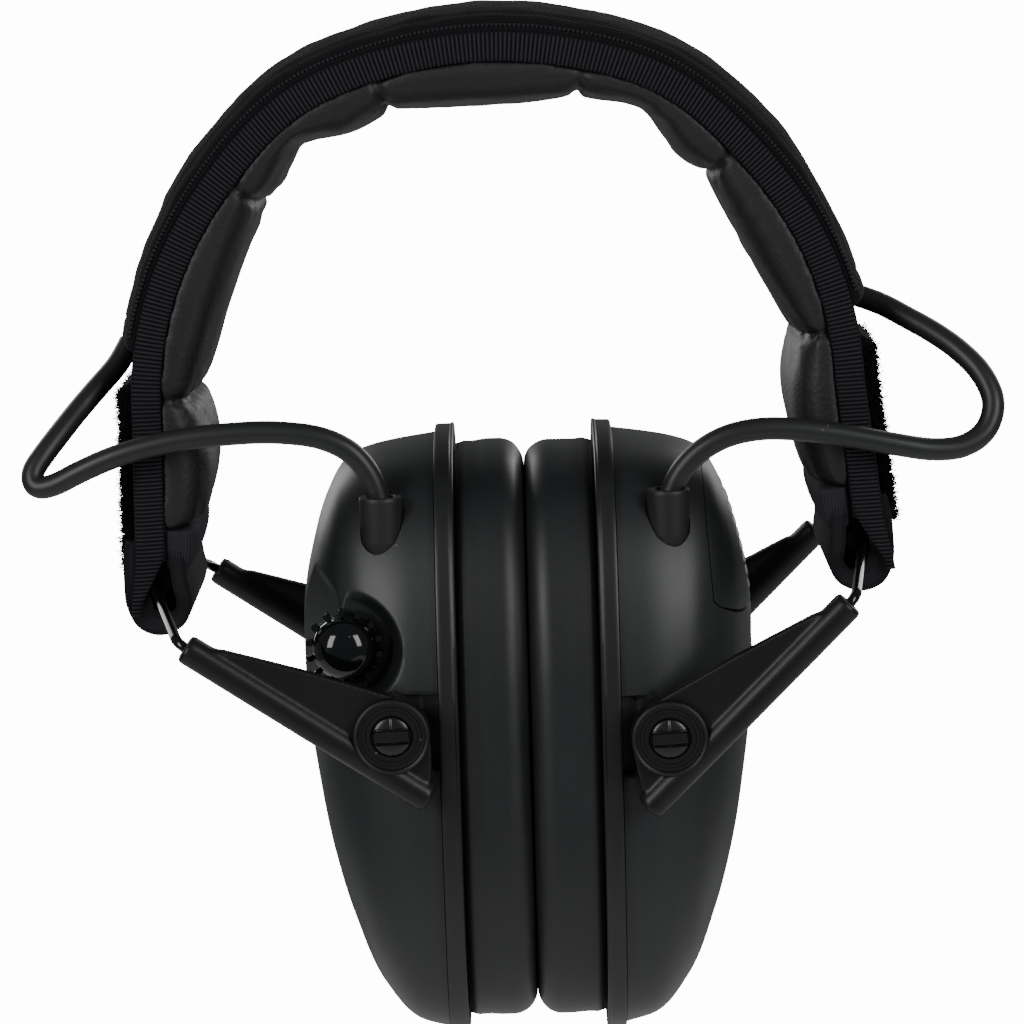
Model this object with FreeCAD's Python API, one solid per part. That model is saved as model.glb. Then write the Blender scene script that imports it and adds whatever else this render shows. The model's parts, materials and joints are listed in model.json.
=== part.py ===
"""Folding electronic earmuff: a padded spring headband, two wire yokes that fold at its ends, sliding
arms for height, and two oval cups with ear cushions, a volume knob and a battery door.

Millimetres. +X is the wearer's left as seen from the front, the front faces -Y and +Z is up. The origin is
the underside of the headband's cushion at its crown, on the middle plane.
"""
import FreeCAD, Part
import math
import os

from FreeCAD import Vector

# ---------------------------------------------------------------- driving dimensions
ARCH_RADIUS = 69.0          # outside of the headband's cover, from the centre of its arch
CUSHION_INSIDE = 51.0       # underside of the head cushion, from the same centre
LEG_LENGTH = 30.0           # straight part of the band below the arch's centre
BAND_HALF_DEPTH = 20.0      # half of the band's front-to-back width
HINGE_X = 63.6              # wire crossbar's place at each end of the band
HINGE_Z = -81.6
WIRE_R = 0.95               # spring-steel wire of the yokes
ARM_Y = 40.0                # middle of each arm's tube, in front of and behind the cup
ARM_TUBE_R = 2.7
TUBE_REACH = 39.0           # arm tube from the pivot's foot up to its mouth
TUBE_TAIL = 12.0            # arm tube past the pivot's foot
PIVOT_ABOVE_TUBE = 6.3      # pivot's distance from the tube's axis
HINGE_ABOVE_TUBE = 1.9      # crossbar's distance from the same axis
CUP_CENTRE = Vector(1.9, 0, -114.8)   # where the two ear cushions meet, at half the cups' height
CUP_LEAN = 2.1              # degrees that the closed pair of cups leans
PIVOT_OUT = 24.45           # cup's pivot, out from the middle of its cushion's face
PIVOT_UPS = {-1: 7.7, 1: 6.0}           # and up from it, on the left and the right cup
RIM_HALF_H, RIM_HALF_W = 56.4, 36.8
RIM_INNER, RIM_OUTER = 12.7, 16.2     # the rim's two faces, out from the cushion's face
FACE_GAP = 0.15             # each cushion's face stands this far from the meeting plane
SHELL_WALL = 2.2
CABLE_R = 2.1
RUNNING = 0.05              # radial clearance of a pin that turns or a wire that slides
CLEAR = 0.3                 # clearance between neighbours that move

ARCH_Z = -CUSHION_INSIDE    # height of the arch's centre
LEG_END = ARCH_Z - LEG_LENGTH
SIDES = {"left": -1, "right": 1}

Y_AXIS = Vector(0, 1, 0)
ORIGIN = Vector(0, 0, 0)

os.makedirs("parts", exist_ok=True)
made = {}


def keep(name, shape):
    """Stores one node's shape, which is one closed solid or a group of separate ones."""
    solids = shape.Solids
    assert solids and all(s.isValid() for s in solids), name
    made[name] = solids[0] if len(solids) == 1 else Part.makeCompound(solids)


# ---------------------------------------------------------------- small builders
def box(x0, x1, y0, y1, z0, z1):
    """Box between two corners."""
    return Part.makeBox(x1 - x0, y1 - y0, z1 - z0, Vector(x0, y0, z0))


def rod(radius, start, end):
    """Cylinder from one point to another."""
    axis = end - start
    return Part.makeCylinder(radius, axis.Length, start, axis)


def ring(outer, inner, start, end):
    """Tube with a bore along its whole length."""
    return rod(outer, start, end).cut(rod(inner, start, end))


def prism(points, y0, y1):
    """Polygon in the X-Z plane, given as (x, z), carried from y0 to y1."""
    corners = [Vector(x, y0, z) for x, z in points]
    face = Part.Face(Part.makePolygon(corners + corners[:1]))
    return face.extrude(Vector(0, y1 - y0, 0))


def mirror_x(shape):
    return shape.mirror(ORIGIN, Vector(1, 0, 0))


def mirror_y(shape):
    return shape.mirror(ORIGIN, Vector(0, 1, 0))


# ---------------------------------------------------------------- headband
def arch_band(r_in, r_out, half_depth, leg_end=LEG_END, from_deg=0.0):
    """Layer of the band from r_in to r_out: an arch with two straight legs down to leg_end.

    With from_deg it is only the part of the arch that stands from_deg or more above the horizontal.
    """
    centre = Vector(0, -half_depth, ARCH_Z)
    layer = ring(r_out, r_in, centre, Vector(0, half_depth, ARCH_Z))
    if from_deg:
        far = 2 * r_out
        rise = far * math.tan(math.radians(from_deg))
        wedge = [(0, ARCH_Z), (far, ARCH_Z + rise), (far, ARCH_Z + rise + far),
                 (-far, ARCH_Z + rise + far), (-far, ARCH_Z + rise)]
        return layer.common(prism(wedge, -half_depth, half_depth))
    layer = layer.common(box(-r_out, r_out, -half_depth, half_depth, ARCH_Z, ARCH_Z + r_out))
    for side in (-1, 1):
        near, away = sorted((side * r_in, side * r_out))
        layer = layer.fuse(box(near, away, -half_depth, half_depth, leg_end, ARCH_Z))
    return layer.removeSplitter()


SPRING_R, SPRING_T, SPRING_HALF = 62.6, 1.0, 12.0
EYE_T = 1.1                 # wall of the spring's rolled eye
COVER_R = 65.6              # where the outer cover starts
COVER_FROM_DEG = 11.0       # the cover's ends, above the horizontal
SLEEVE_IN = 60.3
TAB_TOP = LEG_END + 4.6     # top of the end tabs, just above the rolled eyes
LEAD_R, LEAD_ARCH_R, LEAD_Y = 1.6, 67.1, -4.0

# spring strip with an eye rolled at each end round the yoke's crossbar
eye_r = WIRE_R + RUNNING
spring = arch_band(SPRING_R, SPRING_R + SPRING_T, SPRING_HALF, leg_end=HINGE_Z)
for side in SIDES.values():
    start, end = (Vector(side * HINGE_X, y, HINGE_Z) for y in (-SPRING_HALF, SPRING_HALF))
    spring = spring.fuse(rod(eye_r + EYE_T, start, end)).cut(rod(eye_r, start, end))
keep("spring_band", spring)

# sleeve that holds the spring in a flat pocket
sleeve = arch_band(SLEEVE_IN, COVER_R, BAND_HALF_DEPTH, leg_end=TAB_TOP)
pocket = arch_band(SPRING_R, SPRING_R + SPRING_T, SPRING_HALF, leg_end=TAB_TOP)
keep("band_sleeve", sleeve.cut(pocket))

# outer cover, with a channel for the lead that joins the cups
cover = arch_band(COVER_R, ARCH_RADIUS, BAND_HALF_DEPTH - 1, from_deg=COVER_FROM_DEG)
channel = Part.makeTorus(LEAD_ARCH_R, LEAD_R, Vector(0, LEAD_Y, ARCH_Z), Y_AXIS)
channel = channel.common(arch_band(COVER_R - 2, ARCH_RADIUS + 2, BAND_HALF_DEPTH, from_deg=COVER_FROM_DEG))
keep("band_cover", cover.cut(channel))
keep("band_lead", channel.common(cover))

# head cushion: one foam pad, pinched at sewn seams between its lobes
SEAM_DEGS = (17.0, 45.0, 81.0)          # seams on the arch, either side of the crown
LEG_SEAM_Z = -68.5
SEAM_DEPTH, SEAM_HALF = 4.0, 0.8
TAB_INSIDE = 56.6                       # where the end tab starts, behind the cushion's tip
cushion = arch_band(CUSHION_INSIDE, SLEEVE_IN, BAND_HALF_DEPTH - 1.2, leg_end=LEG_END + 2.5)
for side in SIDES.values():
    for seam in SEAM_DEGS:
        groove = box(-SEAM_HALF, SEAM_HALF, -25, 25, 0, CUSHION_INSIDE + SEAM_DEPTH)
        groove.rotate(ORIGIN, Y_AXIS, side * seam)
        groove.translate(Vector(0, 0, ARCH_Z))
        cushion = cushion.cut(groove)
    near, away = sorted((side * (CUSHION_INSIDE - 1), side * (CUSHION_INSIDE + SEAM_DEPTH)))
    cushion = cushion.cut(box(near, away, -25, 25, LEG_SEAM_Z - SEAM_HALF, LEG_SEAM_Z + SEAM_HALF))
for side in SIDES.values():
    x0, x1 = sorted((side * (TAB_INSIDE - CLEAR), side * (SLEEVE_IN + 1)))
    cushion = cushion.cut(box(x0, x1, -BAND_HALF_DEPTH, BAND_HALF_DEPTH, TAB_TOP - 6, TAB_TOP))
keep("head_cushion", cushion)

# ribbon that binds the front and the rear edge
RIBBON_T = 0.6
binding = arch_band(60.6, 65.2, RIBBON_T / 2, leg_end=TAB_TOP)
for name, side in (("front_binding", -1), ("rear_binding", 1)):
    keep(name, binding.translated(Vector(0, side * (BAND_HALF_DEPTH + RIBBON_T / 2), 0)))

for name, side in SIDES.items():
    # hook-and-loop strip outside each leg
    near, away = sorted((side * COVER_R, side * (COVER_R + 3.2)))
    keep(name + "_loop_strip", box(near, away, -14, 14, -76, -46))
    # tongue that closes the band's end round the rolled eye and the crossbar
    tongue = [(side * TAB_INSIDE, TAB_TOP), (side * 68.2, TAB_TOP), (side * 68.4, -83), (side * 66.8, -87.6),
              (side * 64.4, -89.6), (side * 62.0, -88.4), (side * 58.6, -84.2), (side * TAB_INSIDE, -81)]
    tab = prism(tongue, -18.6, 18.6)
    hinge = Vector(side * HINGE_X, 0, HINGE_Z)
    half = Vector(0, SPRING_HALF + CLEAR, 0)
    tab = tab.cut(rod(eye_r + EYE_T, hinge - half, hinge + half))
    tab = tab.cut(rod(WIRE_R + CLEAR, hinge - Vector(0, 20, 0), hinge + Vector(0, 20, 0)))
    tab = tab.cut(arch_band(SPRING_R, SPRING_R + SPRING_T, SPRING_HALF, leg_end=HINGE_Z))
    keep(name + "_end_tab", tab)


# ---------------------------------------------------------------- yokes and arms
# Each side's wire, tube and pivot lie in a plane of their own: x runs down the tube from the foot of the
# crossbar, z points away from the tube towards the crossbar and the pivot.
def cup_point(side, out, y, up):
    """Place of a point given outwards from the meeting plane, along Y and up from the cups' middle."""
    lean = math.radians(CUP_LEAN)
    x = side * out * math.cos(lean) + up * math.sin(lean)
    z = -side * out * math.sin(lean) + up * math.cos(lean)
    return CUP_CENTRE + Vector(x, y, z)


def arm_frame(side):
    """Length from the crossbar's foot to the pivot's foot, and the tube's slope below the horizontal."""
    pivot = cup_point(side, PIVOT_OUT, 0, PIVOT_UPS[side])
    inwards = side * (side * HINGE_X - pivot.x)
    down = HINGE_Z - pivot.z
    rise = PIVOT_ABOVE_TUBE - HINGE_ABOVE_TUBE
    span = math.hypot(inwards, down)
    return math.sqrt(span ** 2 - rise ** 2), math.degrees(math.atan2(down, inwards) + math.asin(rise / span))


def place_arm(shape, side):
    """Moves a shape from the arm's own plane to its side of the band."""
    slope = math.radians(arm_frame(side)[1])
    if side > 0:
        shape = mirror_x(shape)
    shape = shape.copy()
    shape.rotate(ORIGIN, Y_AXIS, -side * math.degrees(slope))
    foot_x = side * (HINGE_X + HINGE_ABOVE_TUBE * math.sin(slope))
    foot_z = HINGE_Z - HINGE_ABOVE_TUBE * math.cos(slope)
    shape.translate(Vector(foot_x, 0, foot_z))
    return shape


def bent_wire(points, bend_r, wire_r):
    """Round wire along straight runs joined by tangent arcs of one radius."""
    edges, start = [], points[0]
    for a, b, c in zip(points, points[1:], points[2:]):
        before, after = (b - a).normalize(), (c - b).normalize()
        turn = before.getAngle(after)
        cut = bend_r * math.tan(turn / 2)
        first, last = b - before * cut, b + after * cut
        to_centre = (after - before).normalize() * (bend_r / math.cos(turn / 2))
        middle = b + to_centre - to_centre.normalize() * bend_r
        edges += [Part.LineSegment(start, first).toShape(), Part.Arc(first, middle, last).toShape()]
        start = last
    edges.append(Part.LineSegment(start, points[-1]).toShape())
    path = Part.Wire(edges)
    direction = (points[1] - points[0]).normalize()
    profile = Part.Wire(Part.Circle(points[0], direction, wire_r).toShape())
    return path.makePipeShell([profile], True, False)


LEG_REACH = 34.0            # straight part of the wire's leg inside the tube
CROSSBAR_HALF = 20.4        # crossbar, from the middle plane to where its leg turns off
WIRE_BEND = 2.6

BOSS_R, BOSS_IN, BOSS_OUT = 6.8, 37.3, 42.9
PIN_R, HEAD_R, HEAD_T = 2.5, 3.4, 1.2
WEB_HALF = 1.3


def yoke_wire(length):
    """U of spring wire: the crossbar, two flared shoulders and two straight legs inside the tubes."""
    mouth = length - TUBE_REACH
    end = mouth + LEG_REACH
    half = [Vector(0, -CROSSBAR_HALF, HINGE_ABOVE_TUBE), Vector(mouth - 1.4, -ARM_Y, 0), Vector(end, -ARM_Y, 0)]
    other = [Vector(p.x, -p.y, p.z) for p in reversed(half)]
    return bent_wire(list(reversed(half)) + list(reversed(other)), WIRE_BEND, WIRE_R)


def arm(length):
    """Front arm: tube with a bore for the wire, pivot boss and the web between them."""
    foot = length
    mouth, tail = foot - TUBE_REACH, foot + TUBE_TAIL
    start, end = Vector(mouth, -ARM_Y, 0), Vector(tail, -ARM_Y, 0)
    pivot = Vector(foot, 0, PIVOT_ABOVE_TUBE)
    shape = rod(ARM_TUBE_R, start, end)
    tangent = math.radians(12)
    web = [(mouth + 4, 1.5), (foot - BOSS_R * math.sin(tangent), PIVOT_ABOVE_TUBE + BOSS_R * math.cos(tangent)),
           (foot + 4.5, PIVOT_ABOVE_TUBE - 4.5), (tail - 1, 0.5), (mouth + 4, 0)]
    shape = shape.fuse(prism(web, -ARM_Y - WEB_HALF, -ARM_Y + WEB_HALF))
    shape = shape.fuse(rod(BOSS_R, pivot + Vector(0, -BOSS_OUT, 0), pivot + Vector(0, -BOSS_IN, 0)))
    bore = rod(WIRE_R + RUNNING, start, Vector(mouth + LEG_REACH + 3.5, -ARM_Y, 0))
    pin_bore = rod(PIN_R + RUNNING, pivot + Vector(0, -BOSS_OUT, 0), pivot + Vector(0, -BOSS_IN, 0))
    head_seat = rod(HEAD_R + CLEAR, pivot + Vector(0, -BOSS_OUT - 1, 0),
                    pivot + Vector(0, HEAD_T + CLEAR - BOSS_OUT, 0))
    return shape.cut(bore).cut(pin_bore).cut(head_seat)


for name, side in SIDES.items():
    length, slope = arm_frame(side)
    print(name, "arm length %.1f, slope %.1f" % (length, slope))
    keep(name + "_yoke_wire", place_arm(yoke_wire(length), side))
    keep(name + "_front_arm", place_arm(arm(length), side))
    keep(name + "_rear_arm", place_arm(mirror_y(arm(length)), side))
    pivot = cup_point(side, PIVOT_OUT, 0, PIVOT_UPS[side])
    print(name, "pivot", tuple(round(v, 3) for v in pivot))


# ---------------------------------------------------------------- cups
# A cup is made for the right side: x is the distance out from the meeting plane, z is up from its middle.
OVAL_POWER = 2.6


def oval(x, top, bottom, half_w, shrink=0.0, count=28):
    """Closed wire of a rounded oval at distance x, from bottom to top and half_w to each side."""
    middle, half_h = (top + bottom) / 2, (top - bottom) / 2 - shrink
    points = []
    for i in range(count):
        a = 2 * math.pi * i / count
        c, s = math.cos(a), math.sin(a)
        r = (abs(c) ** OVAL_POWER + abs(s) ** OVAL_POWER) ** (-1 / OVAL_POWER)
        points.append(Vector(x, (half_w - shrink) * r * c, middle + half_h * r * s))
    curve = Part.BSplineCurve()
    curve.interpolate(points, True)
    return Part.Wire(curve.toShape())


def oval_slab(x0, x1, half_h, half_w):
    """Straight slab with the oval's outline."""
    return Part.Face(oval(x0, half_h, -half_h, half_w)).extrude(Vector(x1 - x0, 0, 0))


# the shell's outline at growing distances out: top, bottom and half width
SHELL_SECTIONS = [(RIM_OUTER, 55.0, -55.2, 35.6), (22.0, 54.2, -53.4, 34.8), (28.0, 53.0, -46.5, 32.6),
                  (33.0, 50.5, -34.5, 29.0), (36.5, 44.5, -22.0, 24.6), (39.0, 36.5, -8.0, 18.6),
                  (40.7, 28.0, 5.0, 11.0)]


def shell_solid(shrink=0.0, last=None):
    """Lofted body of the shell; with shrink it is the hollow inside it."""
    wires = [oval(x - (shrink if i else 0), top, bottom, half_w, shrink)
             for i, (x, top, bottom, half_w) in enumerate(SHELL_SECTIONS[:last])]
    return Part.makeLoft(wires, True, False)


def place_cup(shape, side):
    """Moves a shape from the cup's own axes to its side of the meeting plane."""
    if side < 0:
        shape = mirror_x(shape)
    shape = shape.copy()
    shape.rotate(ORIGIN, Y_AXIS, CUP_LEAN)
    shape.translate(CUP_CENTRE)
    return shape


POCKET_Y = 34.0             # flat face of the recess beside each pivot
PIN_ROOT_Y = 31.0
POST_R = 4.6                # boss inside the shell that holds the pivot pin
GLAND_OUT, GLAND_Y, GLAND_TOP, GLAND_BOTTOM = 25.6, -24.6, 48.6, 38.4
GLAND_R_TOP, GLAND_R_BOTTOM, GLAND_DEPTH = 3.9, 3.3, 3.0
KNOB_OUT, KNOB_UP = 32.7, 21.4
KNOB_R, KNOB_FRONT, KNOB_BACK, SCOOP_R = 5.8, -34.6, -28.0, 8.3
KNOB_TEETH, TOOTH_W = 12, 1.6
SPINDLE_R = 1.6
DOOR_OUT, DOOR_LOW, DOOR_GAP = 34.0, 22.6, 0.25
DOOR_AXIS_OUT, DOOR_AXIS_UP, DOOR_KNUCKLE_R, DOOR_KNUCKLE_HALF = 39.2, 24.1, 1.2, 7.0
DOOR_NOSE_R = 1.7           # the door's lower edge is rounded about its hinge line, to clear the shell
CELL_R, CELL_HALF, CELL_OUT = 5.25, 22.0, 28.2
CELL_UPS = (19.6, 30.35)
TRAY_WALL = 1.0
POCKET_HALF = 9.0           # flat beside each pivot, from the pivot up and down
PIN_ROOT = 24.0             # |Y| where the pin starts inside its post
NICHE_R, SEAT_R, SEAT_FLOOR = 4.6, 6.4, 1.4
RIM_OPENING, CUSHION_OPENING = (38, 23), (35, 20)
CUSHION_HALF_H, CUSHION_HALF_W = 53.6, 35.4
LINER_HALF_H, LINER_HALF_W, LINER_T = 44, 28, 3.0
SPEAKER_R, MAGNET_R = 13, 8
SPEAKER_OUTS = (20.2, 23.2, 26.6)
MICROPHONE_R, MICROPHONE_AT = 3, (26.5, -23.6, -20.0)
CONTROL_R, CONTROL_FRONT, CONTROL_BACK = 4.8, -25.2, -18
SCOOP_WALL = 1.8


def hollow_shell(pivot_up):
    """Shell with its wall, cable gland pocket, pivot posts and the flats beside the pivots."""
    body = shell_solid()
    shell = body.cut(shell_solid(SHELL_WALL))
    for way in (-1, 1):
        pivot = Vector(PIVOT_OUT, 0, pivot_up)
        post = rod(POST_R, pivot + Vector(0, way * (PIN_ROOT - 2), 0), pivot + Vector(0, way * POCKET_Y, 0))
        shell = shell.fuse(post)
        y0, y1 = sorted((way * POCKET_Y, way * 40))
        shell = shell.cut(box(RIM_OUTER - 1, PIVOT_OUT + POCKET_HALF, y0, y1,
                              pivot_up - POCKET_HALF, pivot_up + POCKET_HALF))
        shell = shell.cut(rod(PIN_R, pivot + Vector(0, way * PIN_ROOT, 0), pivot + Vector(0, way * 40, 0)))
    seat = rod(SEAT_R, Vector(GLAND_OUT, GLAND_Y, GLAND_BOTTOM - SEAT_FLOOR), Vector(GLAND_OUT, GLAND_Y, 56))
    niche = rod(NICHE_R, Vector(GLAND_OUT, GLAND_Y, GLAND_BOTTOM), Vector(GLAND_OUT, GLAND_Y, 60))
    niche = niche.fuse(box(GLAND_OUT - NICHE_R, GLAND_OUT + NICHE_R, -40, GLAND_Y, GLAND_BOTTOM, 60))
    return shell.fuse(seat.common(body)).cut(niche), body


left_plain, body = hollow_shell(PIVOT_UPS[-1])
right_plain, _ = hollow_shell(PIVOT_UPS[1])

# left shell: scoop and bore for the volume knob, jack hole
scoop_centre = Vector(KNOB_OUT, 0, KNOB_UP)
scoop = rod(SCOOP_R, scoop_centre + Vector(0, -40, 0), scoop_centre + Vector(0, KNOB_BACK + CLEAR, 0))
scoop_wall = rod(SCOOP_R + SCOOP_WALL, scoop_centre + Vector(0, -40, 0),
                 scoop_centre + Vector(0, KNOB_BACK + SHELL_WALL, 0))
spindle_bore = rod(SPINDLE_R + 0.6, scoop_centre + Vector(0, -40, 0), scoop_centre + Vector(0, -20, 0))
JACK_R, JACK_LENGTH, JACK_OUT, JACK_MOUTH, JACK_SLEEVE_R = 1.75, 12.0, 24.0, -48.8, 3.0
left_shell = left_plain.fuse(scoop_wall.common(body)).cut(scoop).cut(spindle_bore)
jack_hole = rod(JACK_SLEEVE_R + 0.1, Vector(JACK_OUT, 0, -60), Vector(JACK_OUT, 0, -40))
left_shell = left_shell.cut(jack_hole)

# right shell: the battery door is its own top outer corner
door_block = box(DOOR_OUT, 60, -30, 30, DOOR_LOW, 60)
door_space = box(DOOR_OUT - DOOR_GAP, 60, -30, 30, DOOR_LOW - DOOR_GAP, 60)
right_shell = right_plain.cut(door_space)
knuckle_low, knuckle_high = (Vector(DOOR_AXIS_OUT, way * DOOR_KNUCKLE_HALF, DOOR_AXIS_UP) for way in (-1, 1))
door = body.cut(shell_solid(SHELL_WALL)).common(door_block)
nose_low, nose_high = (Vector(DOOR_AXIS_OUT, way * 30, DOOR_AXIS_UP) for way in (-1, 1))
lower_edge = box(DOOR_AXIS_OUT, 60, -30, 30, DOOR_LOW - 1, DOOR_AXIS_UP)
lower_edge = lower_edge.cut(rod(DOOR_NOSE_R, nose_low, nose_high))
door = door.cut(lower_edge).fuse(rod(DOOR_KNUCKLE_R, knuckle_low, knuckle_high))

for name, side in SIDES.items():
    shell = left_shell if side < 0 else right_shell
    keep(name + "_shell", place_cup(shell, side))
    # rim: the ring that carries the cushion, with the opening for the ear
    rim = oval_slab(RIM_INNER, RIM_OUTER, RIM_HALF_H, RIM_HALF_W)
    rim = rim.cut(oval_slab(RIM_INNER - 1, RIM_OUTER + 1, *RIM_OPENING))
    keep(name + "_rim", place_cup(rim, side))
    pad = oval_slab(FACE_GAP, RIM_INNER, CUSHION_HALF_H, CUSHION_HALF_W)
    pad = pad.cut(oval_slab(-1, RIM_INNER + 1, *CUSHION_OPENING))
    keep(name + "_ear_cushion", place_cup(pad, side))
    liner = oval_slab(RIM_OUTER + 0.6, RIM_OUTER + 0.6 + LINER_T, LINER_HALF_H, LINER_HALF_W)
    keep(name + "_foam_liner", place_cup(liner, side))
    face, step, back = (Vector(out, 0, 0) for out in SPEAKER_OUTS)
    speaker = rod(SPEAKER_R, face, step).fuse(rod(MAGNET_R, step, back))
    keep(name + "_speaker", place_cup(speaker, side))
    for end, way in (("front", -1), ("rear", 1)):
        pivot = Vector(PIVOT_OUT, 0, PIVOT_UPS[side])
        pin = rod(PIN_R, pivot + Vector(0, way * PIN_ROOT, 0), pivot + Vector(0, way * (BOSS_OUT - 1), 0))
        head = rod(HEAD_R, pivot + Vector(0, way * (BOSS_OUT - HEAD_T), 0), pivot + Vector(0, way * BOSS_OUT, 0))
        slot = box(PIVOT_OUT - 5, PIVOT_OUT + 5, way * BOSS_OUT - 0.6, way * BOSS_OUT + 0.6,
                   PIVOT_UPS[side] - 0.5, PIVOT_UPS[side] + 0.5)
        keep(name + "_%s_pivot" % end, place_cup(pin.fuse(head).cut(slot), side))
    gland = Part.makeCone(GLAND_R_BOTTOM, GLAND_R_TOP, GLAND_TOP - GLAND_BOTTOM,
                          Vector(GLAND_OUT, GLAND_Y, GLAND_BOTTOM))
    gland = gland.cut(rod(CABLE_R + CLEAR + 0.2, Vector(GLAND_OUT, GLAND_Y, GLAND_TOP - GLAND_DEPTH - 0.4),
                          Vector(GLAND_OUT, GLAND_Y, GLAND_TOP)))
    keep(name + "_cable_gland", place_cup(gland, side))
    microphone = rod(MICROPHONE_R, Vector(*MICROPHONE_AT), Vector(*MICROPHONE_AT) + Vector(0, 3, 0))
    keep(name + "_microphone", place_cup(microphone, side))

# left cup: volume control and its board
disc = rod(KNOB_R, scoop_centre + Vector(0, KNOB_FRONT + 2.2, 0), scoop_centre + Vector(0, KNOB_BACK, 0))
dome_r = (KNOB_R ** 2 + 2.2 ** 2) / (2 * 2.2)
dome = Part.makeSphere(dome_r, scoop_centre + Vector(0, KNOB_FRONT + dome_r, 0))
dome = dome.common(rod(KNOB_R, scoop_centre + Vector(0, KNOB_FRONT, 0), scoop_centre + Vector(0, KNOB_FRONT + 2.2, 0)))
knob = disc.fuse(dome)
for i in range(KNOB_TEETH):
    tooth = box(KNOB_R - 0.6, KNOB_R + 1.1, KNOB_BACK - 2.6, KNOB_BACK - 0.4, -TOOTH_W / 2, TOOTH_W / 2)
    tooth.rotate(ORIGIN, Y_AXIS, 360 * i / KNOB_TEETH)
    knob = knob.fuse(tooth.translated(scoop_centre))
spindle = rod(SPINDLE_R, scoop_centre + Vector(0, KNOB_BACK, 0), scoop_centre + Vector(0, -20.4, 0))
knob = knob.fuse(spindle)
keep("volume_knob", place_cup(knob, -1))
pot = rod(CONTROL_R, scoop_centre + Vector(0, CONTROL_FRONT, 0), scoop_centre + Vector(0, CONTROL_BACK, 0))
pot = pot.cut(rod(SPINDLE_R + RUNNING, scoop_centre + Vector(0, -26, 0), scoop_centre + Vector(0, -20, 0)))
keep("volume_control", place_cup(pot.common(shell_solid(SHELL_WALL + CLEAR)), -1))
keep("circuit_board", place_cup(box(28.4, 30.0, -17, 17, -26, 14), -1))
jack_mouth = Vector(JACK_OUT, 0, JACK_MOUTH)
jack = rod(JACK_SLEEVE_R, jack_mouth, jack_mouth + Vector(0, 0, JACK_LENGTH + 1))
jack = jack.cut(rod(JACK_R, jack_mouth, jack_mouth + Vector(0, 0, JACK_LENGTH)))
keep("audio_jack", place_cup(jack, -1))

# right cup: battery door, its pin, the tray and the two cells
keep("battery_door", place_cup(door, 1))
low, high = CELL_UPS[0] - CELL_R - 0.1, CELL_UPS[1] + CELL_R + 0.1
tray = box(CELL_OUT - CELL_R - 1.5, CELL_OUT + CELL_R + 0.15, -CELL_HALF - 2, CELL_HALF + 2, low - TRAY_WALL,
           high + TRAY_WALL)
tray = tray.cut(box(CELL_OUT, 40, -CELL_HALF - 0.6, CELL_HALF + 0.6, low, high))
for up in CELL_UPS:
    tray = tray.cut(rod(CELL_R + 0.1, Vector(CELL_OUT, -CELL_HALF - 0.6, up), Vector(CELL_OUT, CELL_HALF + 0.6, up)))
keep("battery_tray", place_cup(tray.common(shell_solid(SHELL_WALL + 0.2)), 1))
cells = [rod(CELL_R, Vector(CELL_OUT, -CELL_HALF, up), Vector(CELL_OUT, CELL_HALF, up)) for up in CELL_UPS]
keep("batteries", place_cup(Part.makeCompound(cells), 1))

# ---------------------------------------------------------------- cables
# Each cable rises from its gland, crosses in front of the band's leg, loops outside it and goes under the
# end of the cover, where the lead inside the cover takes over.
cover_end = math.radians(COVER_FROM_DEG)
ENTRY_X, ENTRY_Z = (LEAD_ARCH_R + 0.5) * math.cos(cover_end), ARCH_Z + (LEAD_ARCH_R + 0.5) * math.sin(cover_end)
CABLE_ROUTES = {
    "left": [(-22.6, -25.0, -60.4), (-26.8, -25.4, -54.6), (-34.0, -25.6, -52.0), (-43.5, -25.5, -52.2),
             (-54.0, -25.1, -54.2), (-65.5, -24.7, -57.4), (-76.0, -24.0, -61.8), (-83.4, -22.8, -64.2),
             (-87.4, -21.2, -60.4), (-85.2, -18.8, -54.6), (-79.6, -15.0, -49.8), (-73.6, -10.2, -45.4),
             (-68.4, -6.2, -42.2)],
    "right": [(30.3, -25.0, -64.0), (34.6, -25.4, -58.4), (42.0, -25.7, -56.4), (51.5, -25.6, -57.6),
              (62.5, -25.2, -60.9), (74.0, -24.6, -64.8), (84.4, -23.6, -64.6), (90.4, -21.6, -57.0),
              (89.0, -18.0, -50.0), (83.0, -13.4, -45.6), (75.6, -9.2, -43.6), (68.6, -5.4, -41.8)],
}


def cord_tube(points, radius):
    """Tube along straight runs joined by tangent arcs, each arc as large as its two runs allow."""
    points = [Vector(*p) for p in points]
    edges, start, radii = [], points[0], []
    for a, b, c in zip(points, points[1:], points[2:]):
        before, after = (b - a).normalize(), (c - b).normalize()
        turn = before.getAngle(after)
        cut = 0.45 * min((b - a).Length, (c - b).Length)
        bend = cut / math.tan(turn / 2)
        radii.append(round(bend, 1))
        first, last = b - before * cut, b + after * cut
        middle = b + (after - before).normalize() * (bend / math.cos(turn / 2) - bend)
        edges += [Part.LineSegment(start, first).toShape(), Part.Arc(first, middle, last).toShape()]
        start = last
    edges.append(Part.LineSegment(start, points[-1]).toShape())
    path = Part.Wire(edges)
    section = Part.Wire(Part.Circle(points[0], (points[1] - points[0]).normalize(), radius).toShape())
    tube = path.makePipeShell([section], True, False)
    return tube, path.Length, radii


for name, side in SIDES.items():
    mouth = cup_point(side, GLAND_OUT, GLAND_Y, GLAND_TOP - GLAND_DEPTH)
    entry = (side * ENTRY_X, LEAD_Y, ENTRY_Z)
    tube, length, radii = cord_tube([tuple(mouth)] + CABLE_ROUTES[name] + [entry], CABLE_R)
    share = tube.Volume / (math.pi * CABLE_R ** 2 * length)
    print(name, "cable %.1f mm, volume share %.4f, mouth %s, entry %s, radii %s" % (
        length, share, tuple(round(v, 2) for v in mouth), tuple(round(v, 2) for v in entry), radii))
    keep(name + "_cable", tube.cut(made["band_cover"]))

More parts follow.
